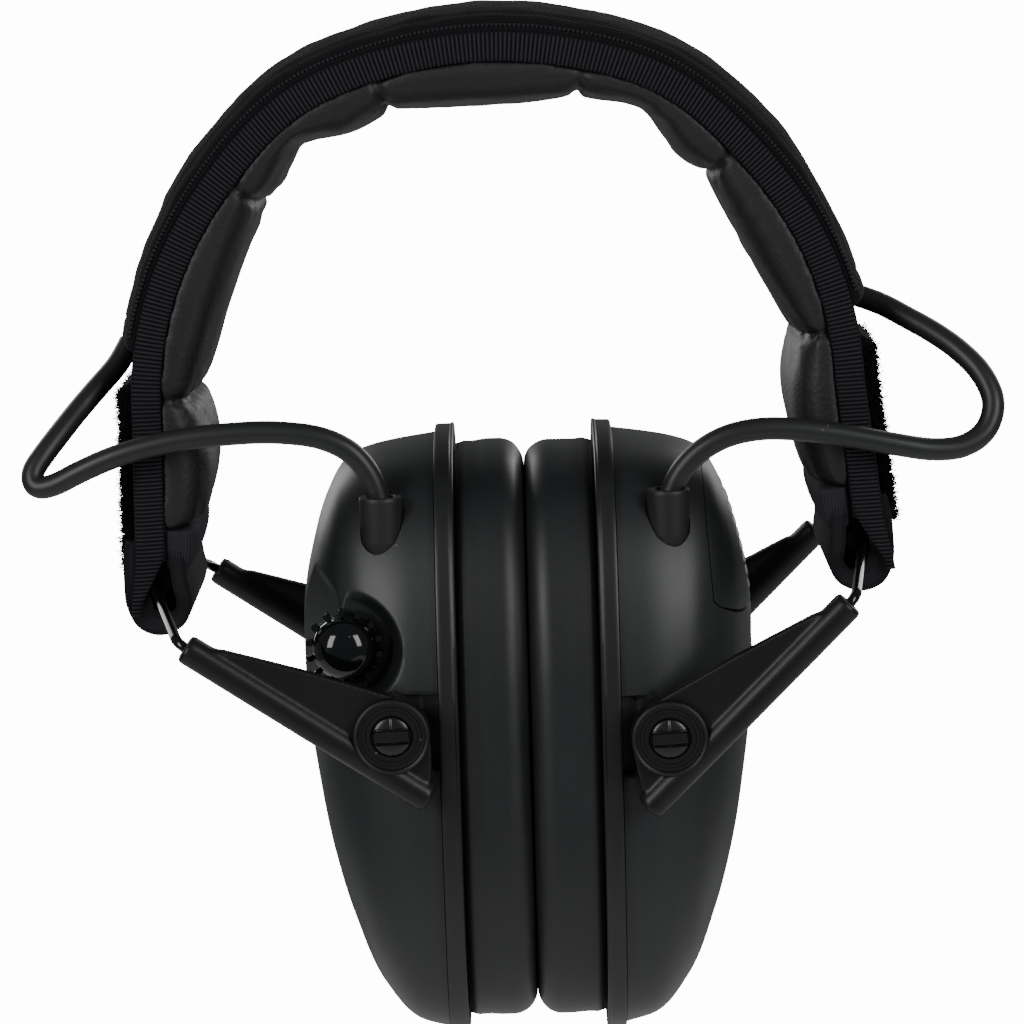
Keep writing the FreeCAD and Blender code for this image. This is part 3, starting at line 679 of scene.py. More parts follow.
# %% [markdown]
# ## Pile strips
# A strip of hook-and-loop pile closes the sleeve on the outside of each leg. It is a felt pad with thousands of
# curled loops standing on it; all loops of a strip are one mesh, made from one array.

# %% Pile
pile_material, _ = shader("pile", (0.006, 0.006, 0.0065), 0.95, Specular_IOR_Level=0.15)


def fibres(roots, normals, rng, length, thick, segments=3):
    """Curled three-sided fibres: each bends over in its own direction as it rises."""
    n = len(roots)
    side = rng.normal(size=(n, 3))
    side -= (side * normals).sum(1, keepdims=True) * normals
    side = unit(side)
    other = np.cross(normals, side)
    t = np.linspace(0, 1, segments + 1)
    reach = length * rng.uniform(0.5, 1.0, (n, 1, 1))
    curl = rng.uniform(0.3, 1.0, (n, 1, 1))
    spine = (roots[:, None] + normals[:, None] * reach * np.sin(t * 1.9)[None, :, None]
             + side[:, None] * reach * curl * (1 - np.cos(t * 1.9))[None, :, None])
    a = np.arange(3) * 2 * math.pi / 3
    ring = side[:, None] * np.cos(a)[None, :, None] + other[:, None] * np.sin(a)[None, :, None]
    points = spine[:, :, None] + ring[:, None] * thick
    base = np.arange(n)[:, None, None] * (segments + 1) * 3
    row = np.arange(segments)[None, :, None] * 3
    k = np.arange(3)[None, None]
    quads = np.stack([base + row + k, base + row + (k + 1) % 3, base + row + 3 + (k + 1) % 3, base + row + 3 + k], -1)
    start = base[:, 0, 0]
    ends = np.concatenate([np.stack([start + 2, start + 1, start], -1),
                           np.stack([start, start + 1, start + 2], -1) + segments * 3])
    return points.reshape(-1, 3), quads.reshape(-1, 4).tolist() + ends.tolist()


PILE_R, LOOP_LENGTH, LOOP_THICK = 67.8, 1.4, 0.09
for name, side in SIDES.items():
    low, high = (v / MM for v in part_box(name + "_loop_strip"))
    rng = np.random.default_rng(20 + side)
    count = 5500
    y = rng.uniform(low.y, high.y, count)
    z = rng.uniform(low.z - 2.0, high.z, count)
    x = np.full(count, side * PILE_R)
    edge = rng.random(count) < 0.3
    y[edge] = np.where(rng.random(edge.sum()) < 0.5, low.y, high.y)
    x[edge] = side * rng.uniform(65.8, 68.0, edge.sum())
    normals = np.stack([np.full(count, side * 1.0), rng.normal(0, 0.5, count), rng.normal(0, 0.5, count)], -1)
    normals[edge, 1] += 2.0 * np.sign(y[edge])
    normals = unit(normals)
    x += side * ease(side * leg_station(z))
    points, faces = fibres(np.stack([x, y, z], -1), normals, rng, LOOP_LENGTH, LOOP_THICK)
    pile = new_piece(name + "_pile", points, faces)
    stations = np.linspace(*sorted((side * leg_station(high.z), side * leg_station(low.z - 2.0))), 60)
    pad = strip(name + "_pile_pad", stations, rounded_rectangle(65.4, 68.1, high.y, 0.9))
    for piece in (pile, pad):
        dress(piece, pile_material, "headband", name + "_loop_strip")
    print(name, "pile of", count, "loops")

# %% [markdown]
# ## Tape and end tabs
# Below the last seam a grosgrain tape binds the cushion's end, with its ribs running up and down. Under it a strap
# is folded round the yoke's crossbar, and the slot between its two layers is where the wire passes.

# %% Tapes and tabs
TAPE_TOP, TAPE_END = -71.2, -78.0


def around_oval(half_a, half_b, power, count, crowd=0.0):
    """Points of a superellipse, as (a, b), spaced by angle; crowd packs them closer near 155 degrees."""
    t = circle(count)
    t = t - crowd * np.sin(t - math.radians(155))
    c, s = np.cos(t), np.sin(t)
    r = (np.abs(c) ** power + np.abs(s) ** power) ** (-1 / power)
    return np.stack([half_a * r * c, half_b * r * s], -1)


def tape(side, ribs=150, rows=40):
    """Ring of ribbed tape round the cushion's end: the section shrinks downwards and the ribs follow its outline."""
    t = np.linspace(0, 1, rows)[:, None]
    count = ribs * 4
    oval = around_oval(1.0, 1.0, 5.0, count)
    length = np.cumsum(np.linalg.norm(np.diff(oval * [3.6, BAND_HALF], axis=0, append=oval[:1]), axis=1))
    rib = 0.11 * np.cos(2 * math.pi * ribs * length / length[-1])
    inner_x = 55.9 + 1.5 * t ** 1.4
    outer_x = 62.0
    bulge = 0.35 * np.sin(np.pi * t) ** 0.5
    half_x = (outer_x - inner_x) / 2 + bulge
    x = (outer_x + inner_x) / 2 + (half_x + rib) * oval[None, :, 0]
    y = (BAND_HALF - 0.5 + bulge + rib - 0.9 * t) * oval[None, :, 1]
    z = TAPE_TOP + (TAPE_END - TAPE_TOP) * t + 0.5 * oval[None, :, 0] * (1 - t)
    return np.stack(np.broadcast_arrays(side * x, y, z), -1)


TAB_LINE = [(59.6, -73.0), (59.6, -77.0), (59.3, -81.0), (58.9, -84.4), (60.2, -87.2), (63.0, -88.2), (66.0, -87.0),
            (67.2, -84.0), (67.3, -80.0), (67.1, -76.0), (66.6, -73.0)]


def smooth_line(points, count):
    """Cubic line through points, spaced evenly along it (Catmull-Rom tangents)."""
    points = np.asarray(points, float)
    length = lengths(points)
    tangent = np.gradient(points, length, axis=0)
    t = np.linspace(0, length[-1], count)
    k = np.clip(np.searchsorted(length, t, side="right") - 1, 0, len(points) - 2)
    h = (length[k + 1] - length[k])[:, None]
    u = ((t - length[k])[:, None]) / h
    return ((2 * u ** 3 - 3 * u ** 2 + 1) * points[k] + (u ** 3 - 2 * u ** 2 + u) * h * tangent[k]
            + (3 * u ** 2 - 2 * u ** 3) * points[k + 1] + (u ** 3 - u ** 2) * h * tangent[k + 1])


def tab(side, half=19.3, rows=150):
    """Strap swept along the fold: a rounded rectangle stands across the line and thickens towards the outside."""
    line = smooth_line(TAB_LINE, rows)
    tangent = unit(np.gradient(line, axis=0))
    normal = np.stack([-tangent[:, 1], tangent[:, 0]], -1)
    section = rounded_rectangle(-0.5, 0.5, half, 0.25)
    thick = 2.9 + 1.2 * smoothstep(line[:, 0], 59.0, 66.0)
    wobble = 0.25 * soft_noise(np.stack([line[:, 0], line[:, 1] * 0, line[:, 1]], -1), 7.0, seed=30 + side)
    spread = 1 - 0.05 * smoothstep(-line[:, 1], 82.0, 88.0)
    place_2d = line[:, None] + normal[:, None] * (section[None, :, :1] * (thick * (1 + 0.1 * wobble))[:, None, None])
    y = section[None, :, 1] * (spread + 0.01 * wobble)[:, None]
    return np.stack(np.broadcast_arrays(side * place_2d[..., 0], y, place_2d[..., 1]), -1)


for name, side in SIDES.items():
    ring = closed(name + "_tape", tape(side))
    dress(ring, ribbon_cloth, "headband", name + "_end_tab")
    points = tab(side)
    grid = uv_grid(np.linspace(0, 34, points.shape[0]), np.linspace(0, 78, points.shape[1] + 1))
    strap = closed(name + "_strap", points, grid, sharp=50)
    dress(strap, tape_cloth, "headband", name + "_end_tab")

# %% [markdown]
# ## Mouldings
# The arms are satin nylon, the shells and rims are satin plastic with a fine spark-eroded texture, and the knob is
# polished. The moulded texture is a noise of about 0.15 mm, far finer than the shapes.


# %% Plastic and metal materials
def plastic(name, colour, roughness, grain, depth, spec=0.5):
    """Moulded plastic: fine grain, cloudy roughness, and a few specks of dust."""
    material, principled = shader(name, colour, roughness, Specular_IOR_Level=spec)
    where = place(material)
    grains = noise(material, where, 1000 / grain, 3.0, 0.7)
    cloud = noise(material, where, 45.0, 3.0)
    bump(material, principled, grains, 0.7, depth * MM)
    vary(material, principled, cloud, roughness - 0.07, roughness + 0.07, "Roughness")
    dust = add(material, "ShaderNodeTexVoronoi", {"Vector": where, "Scale": 260.0}, feature="F1")
    speck = arithmetic(material, "LESS_THAN", dust.outputs["Distance"], 0.045)
    rare = arithmetic(material, "GREATER_THAN", noise(material, where, 90.0, 1.0), 0.60)
    vary(material, principled, arithmetic(material, "MULTIPLY", speck, rare), colour, (0.09, 0.09, 0.09))
    return material


shell_plastic = plastic("shell_plastic", (0.0125, 0.0135, 0.0145), 0.42, 0.30, 0.018)
rim_plastic = plastic("rim_plastic", (0.0095, 0.0100, 0.0107), 0.40, 0.30, 0.014)
arm_plastic = plastic("arm_plastic", (0.0080, 0.0080, 0.0085), 0.38, 0.45, 0.012, 0.32)
pin_plastic = plastic("pin_plastic", (0.0080, 0.0080, 0.0085), 0.28, 0.5, 0.006)
knob_plastic = plastic("knob_plastic", (0.0035, 0.0040, 0.0045), 0.09, 0.5, 0.002)
gland_rubber = plastic("gland_rubber", (0.0130, 0.0130, 0.0140), 0.50, 0.25, 0.012, 0.4)
cable_rubber = plastic("cable_rubber", (0.0150, 0.0155, 0.0165), 0.42, 0.35, 0.006, 0.45)
black_wire, _ = shader("black_wire", (0.02, 0.02, 0.022), 0.16, Metallic=0.85, Coat_Weight=0.5)
inner_dark, _ = shader("inner_dark", (0.02, 0.02, 0.02), 0.6)
steel, _ = shader("steel", (0.32, 0.32, 0.33), 0.35, Metallic=1.0)

# %% Arms
ARM_Y, TUBE_R, TUBE_REACH, TUBE_TAIL = 40.0, 2.7, 39.0, 12.0
PIVOT_RISE, BOSS_R, BOSS_IN, BOSS_OUT, HEAD_R = 6.3, 6.8, 37.3, 42.9, 3.4
HINGE = {side: np.array([side * 63.6, 0.0, -81.6]) for side in (-1, 1)}
WIRE_DROP, ARM_VOXEL = 1.9, 0.42
PIVOTS = {SIDES[name]: np.array(JOINTS[name + "_tilt"]["pos_m"]) / MM for name in SIDES}


def arm_axes(side):
    """Directions down the tube and away from it, and the tube's foot and length, from the hinge and the pivot."""
    gap = (PIVOTS[side] - HINGE[side]) * [side, 1, 1]
    inwards, down = -gap[0], -gap[2]
    rise = PIVOT_RISE - WIRE_DROP
    span = math.hypot(inwards, down)
    slope = math.atan2(down, inwards) + math.asin(rise / span)
    along = np.array([-side * math.cos(slope), 0, -math.sin(slope)])
    away = np.array([-side * math.sin(slope), 0, math.cos(slope)])
    return along, away, HINGE[side] - WIRE_DROP * away, math.sqrt(span ** 2 - rise ** 2)


def in_arm(side, x, y, z):
    """Point in mm from the arm's own x along the tube, y and z away from it."""
    along, away, foot, _ = arm_axes(side)
    x, y, z = np.broadcast_arrays(x, y, z)
    return foot + x[..., None] * along + z[..., None] * away + y[..., None] * np.array([0, 1, 0])


def lathe(profile, count, to_place):
    """Turns (radius, height) round an axis; to_place takes two in-plane grids and a height grid."""
    a = circle(count)
    r, h = profile[:, :1], profile[:, 1:]
    return to_place(r * np.cos(a)[None], r * np.sin(a)[None], h + 0 * a[None])


def arm_pieces(side, way):
    """Tube with its collar and the web, and the length from the tube's foot to the pivot."""
    _, _, _, length = arm_axes(side)
    mouth, tail = length - TUBE_REACH, length + TUBE_TAIL
    y0 = way * ARM_Y

    def on_tube(a, b, h):
        return in_arm(side, h, y0 + a, b)

    r = TUBE_R
    tube = np.array([(0.95, mouth + 6), (0.95, mouth + 0.2), (1.6, mouth), (r - 0.5, mouth), (r - 0.05, mouth + 0.35),
                     (r, mouth + 0.9), (r, tail - 0.9), (r - 0.2, tail - 0.3), (r - 0.8, tail), (0.6, tail)])
    tube = closed("tube", lathe(smooth_profile(tube, 120), 64, on_tube))
    top = np.array([(mouth + 3.4, 1.0), (mouth + 4.4, 2.5), (mouth + 6.0, 3.3), (mouth + 20.0, 7.85),
                    (length - 2.4, 12.6), (length, 12.9), (length + 4.5, 10.8), (length + 7.0, 8.2),
                    (length + 9.9, 3.9), (length + 10.8, 1.0)])
    bottom = np.stack([top[:, 0], np.full(len(top), -0.4)], -1)
    ring = np.stack([top, bottom], 1)
    steps = smooth_profile(ring.reshape(len(top), 4), 90).reshape(-1, 2, 2)
    t = np.linspace(0, 1, 14)[None, :, None]
    face = steps[:, :1] * (1 - t) + steps[:, 1:] * t
    thick = 1.3
    front = in_arm(side, face[..., 0], y0 + way * thick, face[..., 1])
    back = in_arm(side, face[..., 0], y0 - way * thick, face[..., 1])
    return [tube, closed("web", np.concatenate([front, back[:, ::-1]], 1))], length


def smooth_profile(points, count):
    """Adds points along a profile's straight runs, keeping its corners."""
    points = np.asarray(points, float)
    length = lengths(points)
    t = np.union1d(np.linspace(0, length[-1], count), length)
    return at_lengths(points, length, t)


BOSS_PROFILE = [(0.4, BOSS_IN), (5.9, BOSS_IN), (BOSS_R - 0.1, BOSS_IN + 0.4), (BOSS_R, BOSS_IN + 0.9),
                (BOSS_R, BOSS_OUT - 0.45), (6.62, BOSS_OUT - 0.1), (6.35, BOSS_OUT), (6.05, BOSS_OUT - 0.12),
                (5.9, BOSS_OUT - 0.7),
                (5.3, BOSS_OUT - 0.8), (5.2, BOSS_OUT - 0.62), (4.7, BOSS_OUT - 0.62), (4.6, BOSS_OUT - 0.85),
                (3.75, BOSS_OUT - 0.85), (3.65, BOSS_OUT - 1.5), (0.4, BOSS_OUT - 1.5)]


def pin_head(side, way):
    """Head of the pivot pin: two domed halves, a raised bar between them and a dark slot line under the bar."""
    rings, count = np.linspace(0.02, HEAD_R, 46), 140
    a = circle(count)
    x, z = rings[:, None] * np.cos(a), rings[:, None] * np.sin(a)
    dome = 0.75 * np.sqrt(np.clip(1 - (rings[:, None] / (HEAD_R + 0.05)) ** 2, 0, 1)) - 0.35
    bar = within(z - 0.1, 0.85, 1.05) * within(x, 3.0, 3.25)
    slot = within(z + 1.18, 0.1, 0.24) + 0.6 * within(z - 1.3, 0.1, 0.22)
    parting = 0.12 * hump(x, 0.12) * (1 - bar)
    height = (BOSS_OUT - 0.35) + dome * (1 - bar) + 0.55 * bar - 0.6 * slot - parting
    wall = np.array([(HEAD_R, BOSS_OUT - 1.2), (HEAD_R, BOSS_OUT - 2.4)])
    r = np.concatenate([np.sqrt(x ** 2 + z ** 2), np.repeat(wall[:, :1], count, 1)])
    height = np.concatenate([height, np.repeat(wall[:, 1:], count, 1)])
    centre = PIVOTS[side]
    return np.stack([centre[0] + r * np.cos(a), way * height, centre[2] + r * np.sin(a)], -1)


for name, side in SIDES.items():
    for end, way in (("front", -1), ("rear", 1)):
        parts, length = arm_pieces(side, way)
        arm = joined("%s_%s_arm_body" % (name, end), parts)
        add_remesh(arm, ARM_VOXEL)
        relax = arm.modifiers.new("relax", "SMOOTH")
        relax.factor, relax.iterations = 0.5, 4
        smooth(finish_modifiers(arm))
        p = coords(arm)
        along, away, foot, _ = arm_axes(side)
        near = np.hypot((p - foot) @ along - length, (p - foot) @ away - PIVOT_RISE) < 6.05
        p[:, 1] = np.where(near, np.clip(p[:, 1], -BOSS_OUT + 1.6, BOSS_OUT - 1.6), p[:, 1])
        set_coords(arm, p)

        def on_boss(a, b, h):
            return in_arm(side, length + a, way * h, PIVOT_RISE + b)

        boss = closed("boss", lathe(smooth_profile(BOSS_PROFILE, 90), 96, on_boss), sharp=40)
        arm = joined("%s_%s_arm_body" % (name, end), [arm, boss])
        dress(arm, arm_plastic, name + "_arms", "%s_%s_arm" % (name, end))
        head = closed("%s_%s_pin_head" % (name, end), pin_head(side, way), sharp=35)
        dress(head, pin_plastic, name + "_cup", "%s_%s_pivot" % (name, end))
    print(name, "arms with", len(arm.data.polygons), "faces each")

# %% [markdown]
# ## Cups
# Each shell is a stack of superellipses of power 2.6 that shrink and rise as they go outwards. One smooth cubic runs
# through their sizes. The knob's scoop and the flats beside the pivots are pressed into the grid before it becomes
# a mesh, and the shell gets its wall by adding a smaller copy of the same form.

# %% Shell form
CUP_LEAN = math.radians(2.1)
CUP_CENTRE = np.array([1.9, 0.0, -114.8])
OVAL_POWER = 2.6
RIM_OUTER, RIM_INNER = 16.2, 12.7
SECTIONS = [(16.3, 55.0, -55.2, 35.6), (22.0, 54.2, -53.4, 34.8), (28.0, 53.0, -46.5, 32.6),
            (33.0, 50.5, -34.5, 29.0), (36.5, 44.5, -22.0, 24.6), (39.0, 36.5, -8.0, 18.6), (40.7, 28.0, 5.0, 11.0),
            (41.15, 20.0, 13.0, 4.0), (41.2, 16.6, 16.4, 0.1)]
KNOB_OUT, KNOB_UP, KNOB_BACK, SCOOP_R = 32.7, 21.4, -28.0, 8.6
PIVOT_UPS, POCKET_Y, SHELL_WALL = {-1: 7.7, 1: 6.0}, 34.0, 2.0


def in_cup(side, out, y, up):
    """Point in mm from a cup's own distance out, depth and height."""
    c, s = math.cos(CUP_LEAN), math.sin(CUP_LEAN)
    out, y, up = np.broadcast_arrays(out, y, up)
    return CUP_CENTRE + np.stack([side * out * c + up * s, y, -side * out * s + up * c], -1)


def shell_rows(shrink, rows, count, crowd):
    """Rows of the shell from the rim plane to the crown, in cup axes, spaced evenly along the cubic."""
    sections = smooth_line(SECTIONS, rows)
    out = sections[:, 0] - shrink * smoothstep(sections[:, 0], 16.3, 24.0)
    half_h = np.maximum((sections[:, 1] - sections[:, 2]) / 2 - shrink, 0.05)
    half_w = np.maximum(sections[:, 3] - shrink, 0.05)
    middle = (sections[:, 1] + sections[:, 2]) / 2
    oval = around_oval(1.0, 1.0, OVAL_POWER, count, crowd)
    return np.stack([np.repeat(out[:, None], count, 1), half_w[:, None] * oval[None, :, 0],
                     middle[:, None] + half_h[:, None] * oval[None, :, 1]], -1)


def press_pockets(p, pivot_up):
    """Flattens the skin beside each pivot to one depth, with a deeper slot along the rim."""
    p = p.copy()
    up = p[..., 2] - pivot_up + 1.0
    inside = within(up, 6.4, 6.9) * within(p[..., 0], 32.5, 34.6)
    slot = within(p[..., 0], 18.4, 19.0) * within(up, 6.5, 6.7)
    deep = np.sign(p[..., 1]) * np.minimum(np.abs(p[..., 1]), POCKET_Y - 0.9 - 2.2 * slot)
    p[..., 1] += (deep - p[..., 1]) * inside * (np.abs(p[..., 1]) > 20)
    return p


def press_scoop(p):
    """Scoop for the knob: round towards the rim, and open outwards under a lip."""
    p = p.copy()
    a, b = p[..., 0] - KNOB_OUT, p[..., 2] - KNOB_UP
    lip = SCOOP_R + 0.35 * np.clip(a, 0, 9) + 2.4 * smoothstep(a, 1, 7)
    low = -8.8
    round_distance = np.hypot(a, b)
    open_distance = np.where(a > 0, np.maximum(b - lip + SCOOP_R, low + SCOOP_R - b), round_distance)
    distance = np.where(a > 0, np.maximum(open_distance, 0), round_distance)
    inside = within(distance, SCOOP_R - 0.7, SCOOP_R + 1.9) * (p[..., 1] < -2)
    floor_y = KNOB_BACK + 0.6 + 2.4 * np.clip(a - 0.5, 0, 10)
    p[..., 1] = np.where(p[..., 1] < floor_y, p[..., 1] + (floor_y - p[..., 1]) * inside, p[..., 1])
    return p


def door_details(p):
    """Grip ribs on the door's edge and a shallow finger scoop under it."""
    p = p.copy()
    ribs = 0.28 * np.cos(2 * math.pi * p[..., 2] / 2.3)
    where = within(p[..., 2] - 35.5, 9.0, 10.5) * within(p[..., 1], 8.0, 10.0) * smoothstep(p[..., 0], 34.5, 37.0)
    p[..., 0] -= (0.15 + ribs) * where
    distance = np.sqrt((p[..., 1] + 3.0) ** 2 / 2.2 + (p[..., 2] - 18.2) ** 2 * 1.6)
    p[..., 0] -= 1.1 * within(distance, 1.5, 5.0) * (p[..., 0] > 36)
    return p


def shell_grid(side, rows=185, count=420, inner_rows=24):
    """Points of a whole shell: the skin from its crown to the rim, then a smaller copy inside, back to the crown."""
    crowd = 0.5 if side < 0 else 0.0
    skin = press_pockets(shell_rows(0.0, rows, count, crowd), PIVOT_UPS[side])
    inner = shell_rows(SHELL_WALL, inner_rows, count, crowd)
    if side < 0:
        skin = press_scoop(skin)
        inner = press_scoop(inner)
        near = np.hypot(inner[..., 0] - KNOB_OUT, inner[..., 2] - KNOB_UP)
        inner[..., 1] += np.where(inner[..., 1] < -2, SHELL_WALL * within(near, 11, 14), 0)
    else:
        skin = door_details(skin)
    p = np.concatenate([skin[::-1], inner])
    return in_cup(side, p[..., 0], p[..., 1], p[..., 2])


def boolean(piece, cutter, operation):
    """Cuts a piece, or keeps what the cutter holds of it, and deletes the cutter."""
    cut = piece.modifiers.new("cut", "BOOLEAN")
    cut.operation, cut.solver, cut.object = operation, "EXACT", cutter
    finish_modifiers(piece)
    bpy.data.objects.remove(cutter)


def prism(outline, half=40):
    """Cutter for the right cup: an outline in (out, up) that goes through it from front to back."""
    outline = np.asarray(outline, float)
    return closed("cutter", np.stack([in_cup(1, outline[:, 0], y, outline[:, 1]) for y in (-half, half)]))


GLAND_OUT, GLAND_Y, GLAND_TOP = 25.6, -24.6, 47.7
DOOR_OPENING = [(31.8, 62.0), (32.4, 40.0), (33.2, 27.4), (34.4, 26.2), (38.0, 24.1), (41.5, 22.9), (50.0, 22.8),
                (50.0, 62.0)]
DOOR_OUTLINE = [(31.8, 62.0), (32.4, 40.0), (33.2, 27.4), (34.4, 26.2), (38.0, 24.5), (39.2, 24.2), (50.0, 24.2),
                (50.0, 62.0)]             # its foot stops at the hinge's height, to swing clear of the shell
DOOR_GAP = 0.13


def gland_cutter(side):
    """Stacked circles that widen upwards, to let the gland into the shell."""
    a = circle(64)
    ups, radii = np.array([33.4, 37.4, 39.6, 62.0]), np.array([2.30, 3.10, 3.75, 5.0])
    out = GLAND_OUT + radii[:, None] * np.cos(a)
    y = GLAND_Y + radii[:, None] * np.sin(a)
    return closed("cutter", in_cup(side, out, y, ups[:, None] + 0 * out))


def shrunk(outline, gap):
    """Moves an outline's corners towards its middle by gap, along both axes."""
    outline = np.asarray(outline, float)
    middle = outline.mean(0)
    return outline + gap * np.sign(middle - outline)


for name, side in SIDES.items():
    shell = closed(name + "_shell_skin", shell_grid(side))
    if side > 0:
        door = new_object("battery_door_skin", shell.data.copy())
        door.data.name = door.name
        boolean(shell, prism(DOOR_OPENING), "DIFFERENCE")
        boolean(door, prism(shrunk(DOOR_OUTLINE, DOOR_GAP)), "INTERSECT")
        dress(smooth(door, 40), shell_plastic, "battery_door", "battery_door")
        print("door", len(door.data.polygons), "faces")
    boolean(shell, gland_cutter(side), "DIFFERENCE")
    dress(smooth(shell, 40), shell_plastic, name + "_cup", name + "_shell")
    print(name, "shell", len(shell.data.polygons), "faces")

# %% Rims, glands and ear cushions
RIM_HALF, PAD_HALF = np.array([36.8, 56.4]), np.array([35.1, 53.2])
MIDDLE_GAP = 0.005           # from a cushion's face to the plane where the two meet
RIM_PROFILE = [(RIM_OUTER - 0.35, -18.0), (RIM_OUTER - 0.35, -2.2), (RIM_OUTER, -1.7), (RIM_OUTER, -0.5),
               (RIM_OUTER - 0.12, -0.12), (RIM_OUTER - 0.45, 0.0), (RIM_INNER + 0.7, 0.05), (RIM_INNER + 0.45, 0.22),
               (RIM_INNER + 0.15, 0.22), (RIM_INNER, 0.0), (RIM_INNER, -2.4), (RIM_INNER + 0.3, -2.8),
               (RIM_INNER + 0.3, -18.0)]


def ring_sweep(side, profile, half, count):
    """Sweeps (out, offset from the outline) round the cup's oval; big negative offsets close in on the ear's hole."""
    oval = around_oval(half[0], half[1], OVAL_POWER, count)
    share = 1 + profile[:, 1][None, :] / np.hypot(*oval.T)[:, None]
    y, up = oval[:, :1] * share, oval[:, 1:] * share
    return in_cup(side, profile[:, 0][None, :] + 0 * y, y, up)


def cushion_profile(reach=12.4, width=15.3, count=26):
    """Section of the ear cushion: round at its face, a little hollow behind the roll, square against the rim."""
    big, small = 4.6, 1.4
    a = np.linspace(0, math.pi / 2, count)
    face = [(MIDDLE_GAP + big - big * np.cos(a), -big + big * np.sin(a))]
    x = np.linspace(5.4, reach - small, 30)
    hollow = -0.15 * np.sin(np.pi * smoothstep(x, 5.0, 13.5)) ** 2
    back = [(x, hollow)]
    foot = [(np.full(8, reach + 0.3), np.linspace(-0.6, -width + 1.0, 8))]
    inner_big = 3.6
    inside = [(np.linspace(reach - 1.0, inner_big + 1.2, 12), np.full(12, -width))]
    inner_face = [(MIDDLE_GAP + inner_big - inner_big * np.sin(a), -width + inner_big - inner_big * np.cos(a))]
    flat = [(np.full(10, MIDDLE_GAP), np.linspace(-width + inner_big + 0.8, -big - 0.8, 10))]
    parts = face + back + foot + inside + inner_face + flat
    return np.concatenate([np.stack(part, -1) for part in parts])


GLAND_PROFILE = [(0.3, 33.6), (2.1, 33.6), (2.9, 37.4), (3.55, 39.6), (3.95, GLAND_TOP - 0.5),
                 (3.8, GLAND_TOP - 0.05), (3.6, GLAND_TOP), (2.65, GLAND_TOP), (2.45, GLAND_TOP - 0.25),
                 (2.4, GLAND_TOP - 3.2), (0.3, GLAND_TOP - 3.3)]


CUP_OUT = {side: np.array([side * math.cos(CUP_LEAN), 0, -side * math.sin(CUP_LEAN)]) for side in (-1, 1)}
for name, side in SIDES.items():
    rim = closed(name + "_rim_ring", ring_sweep(side, smooth_profile(RIM_PROFILE, 60), RIM_HALF, 420),
                 sharp=32, ring=True)
    dress(rim, rim_plastic, name + "_cup", name + "_rim")
    pad = closed(name + "_ear_pad", ring_sweep(side, cushion_profile(), PAD_HALF, 360), ring=True)
    p = coords(pad)
    out = (p - CUP_CENTRE) @ CUP_OUT[side]
    soft = within(out, 6.0, 11.0) * smoothstep(out, 0.5, 2.0)
    across = unit(p - CUP_CENTRE - CUP_OUT[side] * out[:, None])
    ripple = 0.22 * soft_noise(p, 38.0, seed=41 + side) + 0.05 * soft_noise(p, 11.0, seed=51 + side)
    set_coords(pad, p + across * (ripple * soft)[:, None])
    dress(pad, ear_leather, name + "_cup", name + "_ear_cushion")
    list(in_cup(side, RIM_INNER, 0, 0) * MM)
    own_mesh(pad)

    def on_gland(a, b, h):
        return in_cup(side, GLAND_OUT + a, GLAND_Y + b, h)

    gland = closed(name + "_gland_sleeve", lathe(smooth_profile(GLAND_PROFILE, 60), 80, on_gland), sharp=35)
    dress(gland, gland_rubber, name + "_cup", name + "_cable_gland")
    print(name, "cushion", len(pad.data.polygons), "faces")

# %% Volume knob
KNOB_PROFILE = [(0.05, -34.6), (1.2, -34.55), (2.4, -34.3), (3.5, -33.8), (4.4, -33.1), (5.1, -32.2), (5.5, -31.2),
                (5.72, -30.2), (5.78, -29.6), (5.8, -29.4), (5.95, -29.2), (6.0, -28.6), (5.9, -28.3), (1.6, -28.2),
                (1.6, -24.0), (0.05, -24.0)]
TEETH, TOOTH, TOOTH_R = 14, 1.05, 6.45


def on_knob(a, b, h):
    return in_cup(-1, KNOB_OUT + a, h, KNOB_UP + b)


dome = np.array(KNOB_PROFILE)
dome = np.concatenate([smooth_line(dome[:9], 60), smooth_profile(dome[9:], 40)])
body = closed("knob_body", lathe(dome, 120, on_knob), sharp=40)
teeth = []
for i in range(TEETH):
    turn = 2 * math.pi * (i + 0.4) / TEETH
    square = rounded_rectangle(TOOTH_R - TOOTH / 2, TOOTH_R + TOOTH / 2, TOOTH / 2, 0.18, 4)
    a = square[:, 0] * math.cos(turn) - square[:, 1] * math.sin(turn)
    b = square[:, 0] * math.sin(turn) + square[:, 1] * math.cos(turn)
    heights = np.array([-28.4, -30.5, -30.65])
    pull = np.array([1.0, 1.0, 0.975])[:, None]
    points = on_knob(a[None] * pull, b[None] * pull, heights[:, None] + 0 * a[None])
    teeth.append(closed("tooth", points, sharp=40))
knob = joined("volume_knob_turned", [body] + teeth)
dress(knob, knob_plastic, "volume_knob", "volume_knob")
print("knob with", TEETH, "teeth")

# %% [markdown]
# ## Cables
# Each cable is one smooth line from the end of the cover to its gland: a cubic through its route, evened out by a
# moving average. It is made as three lengths that meet end to end.

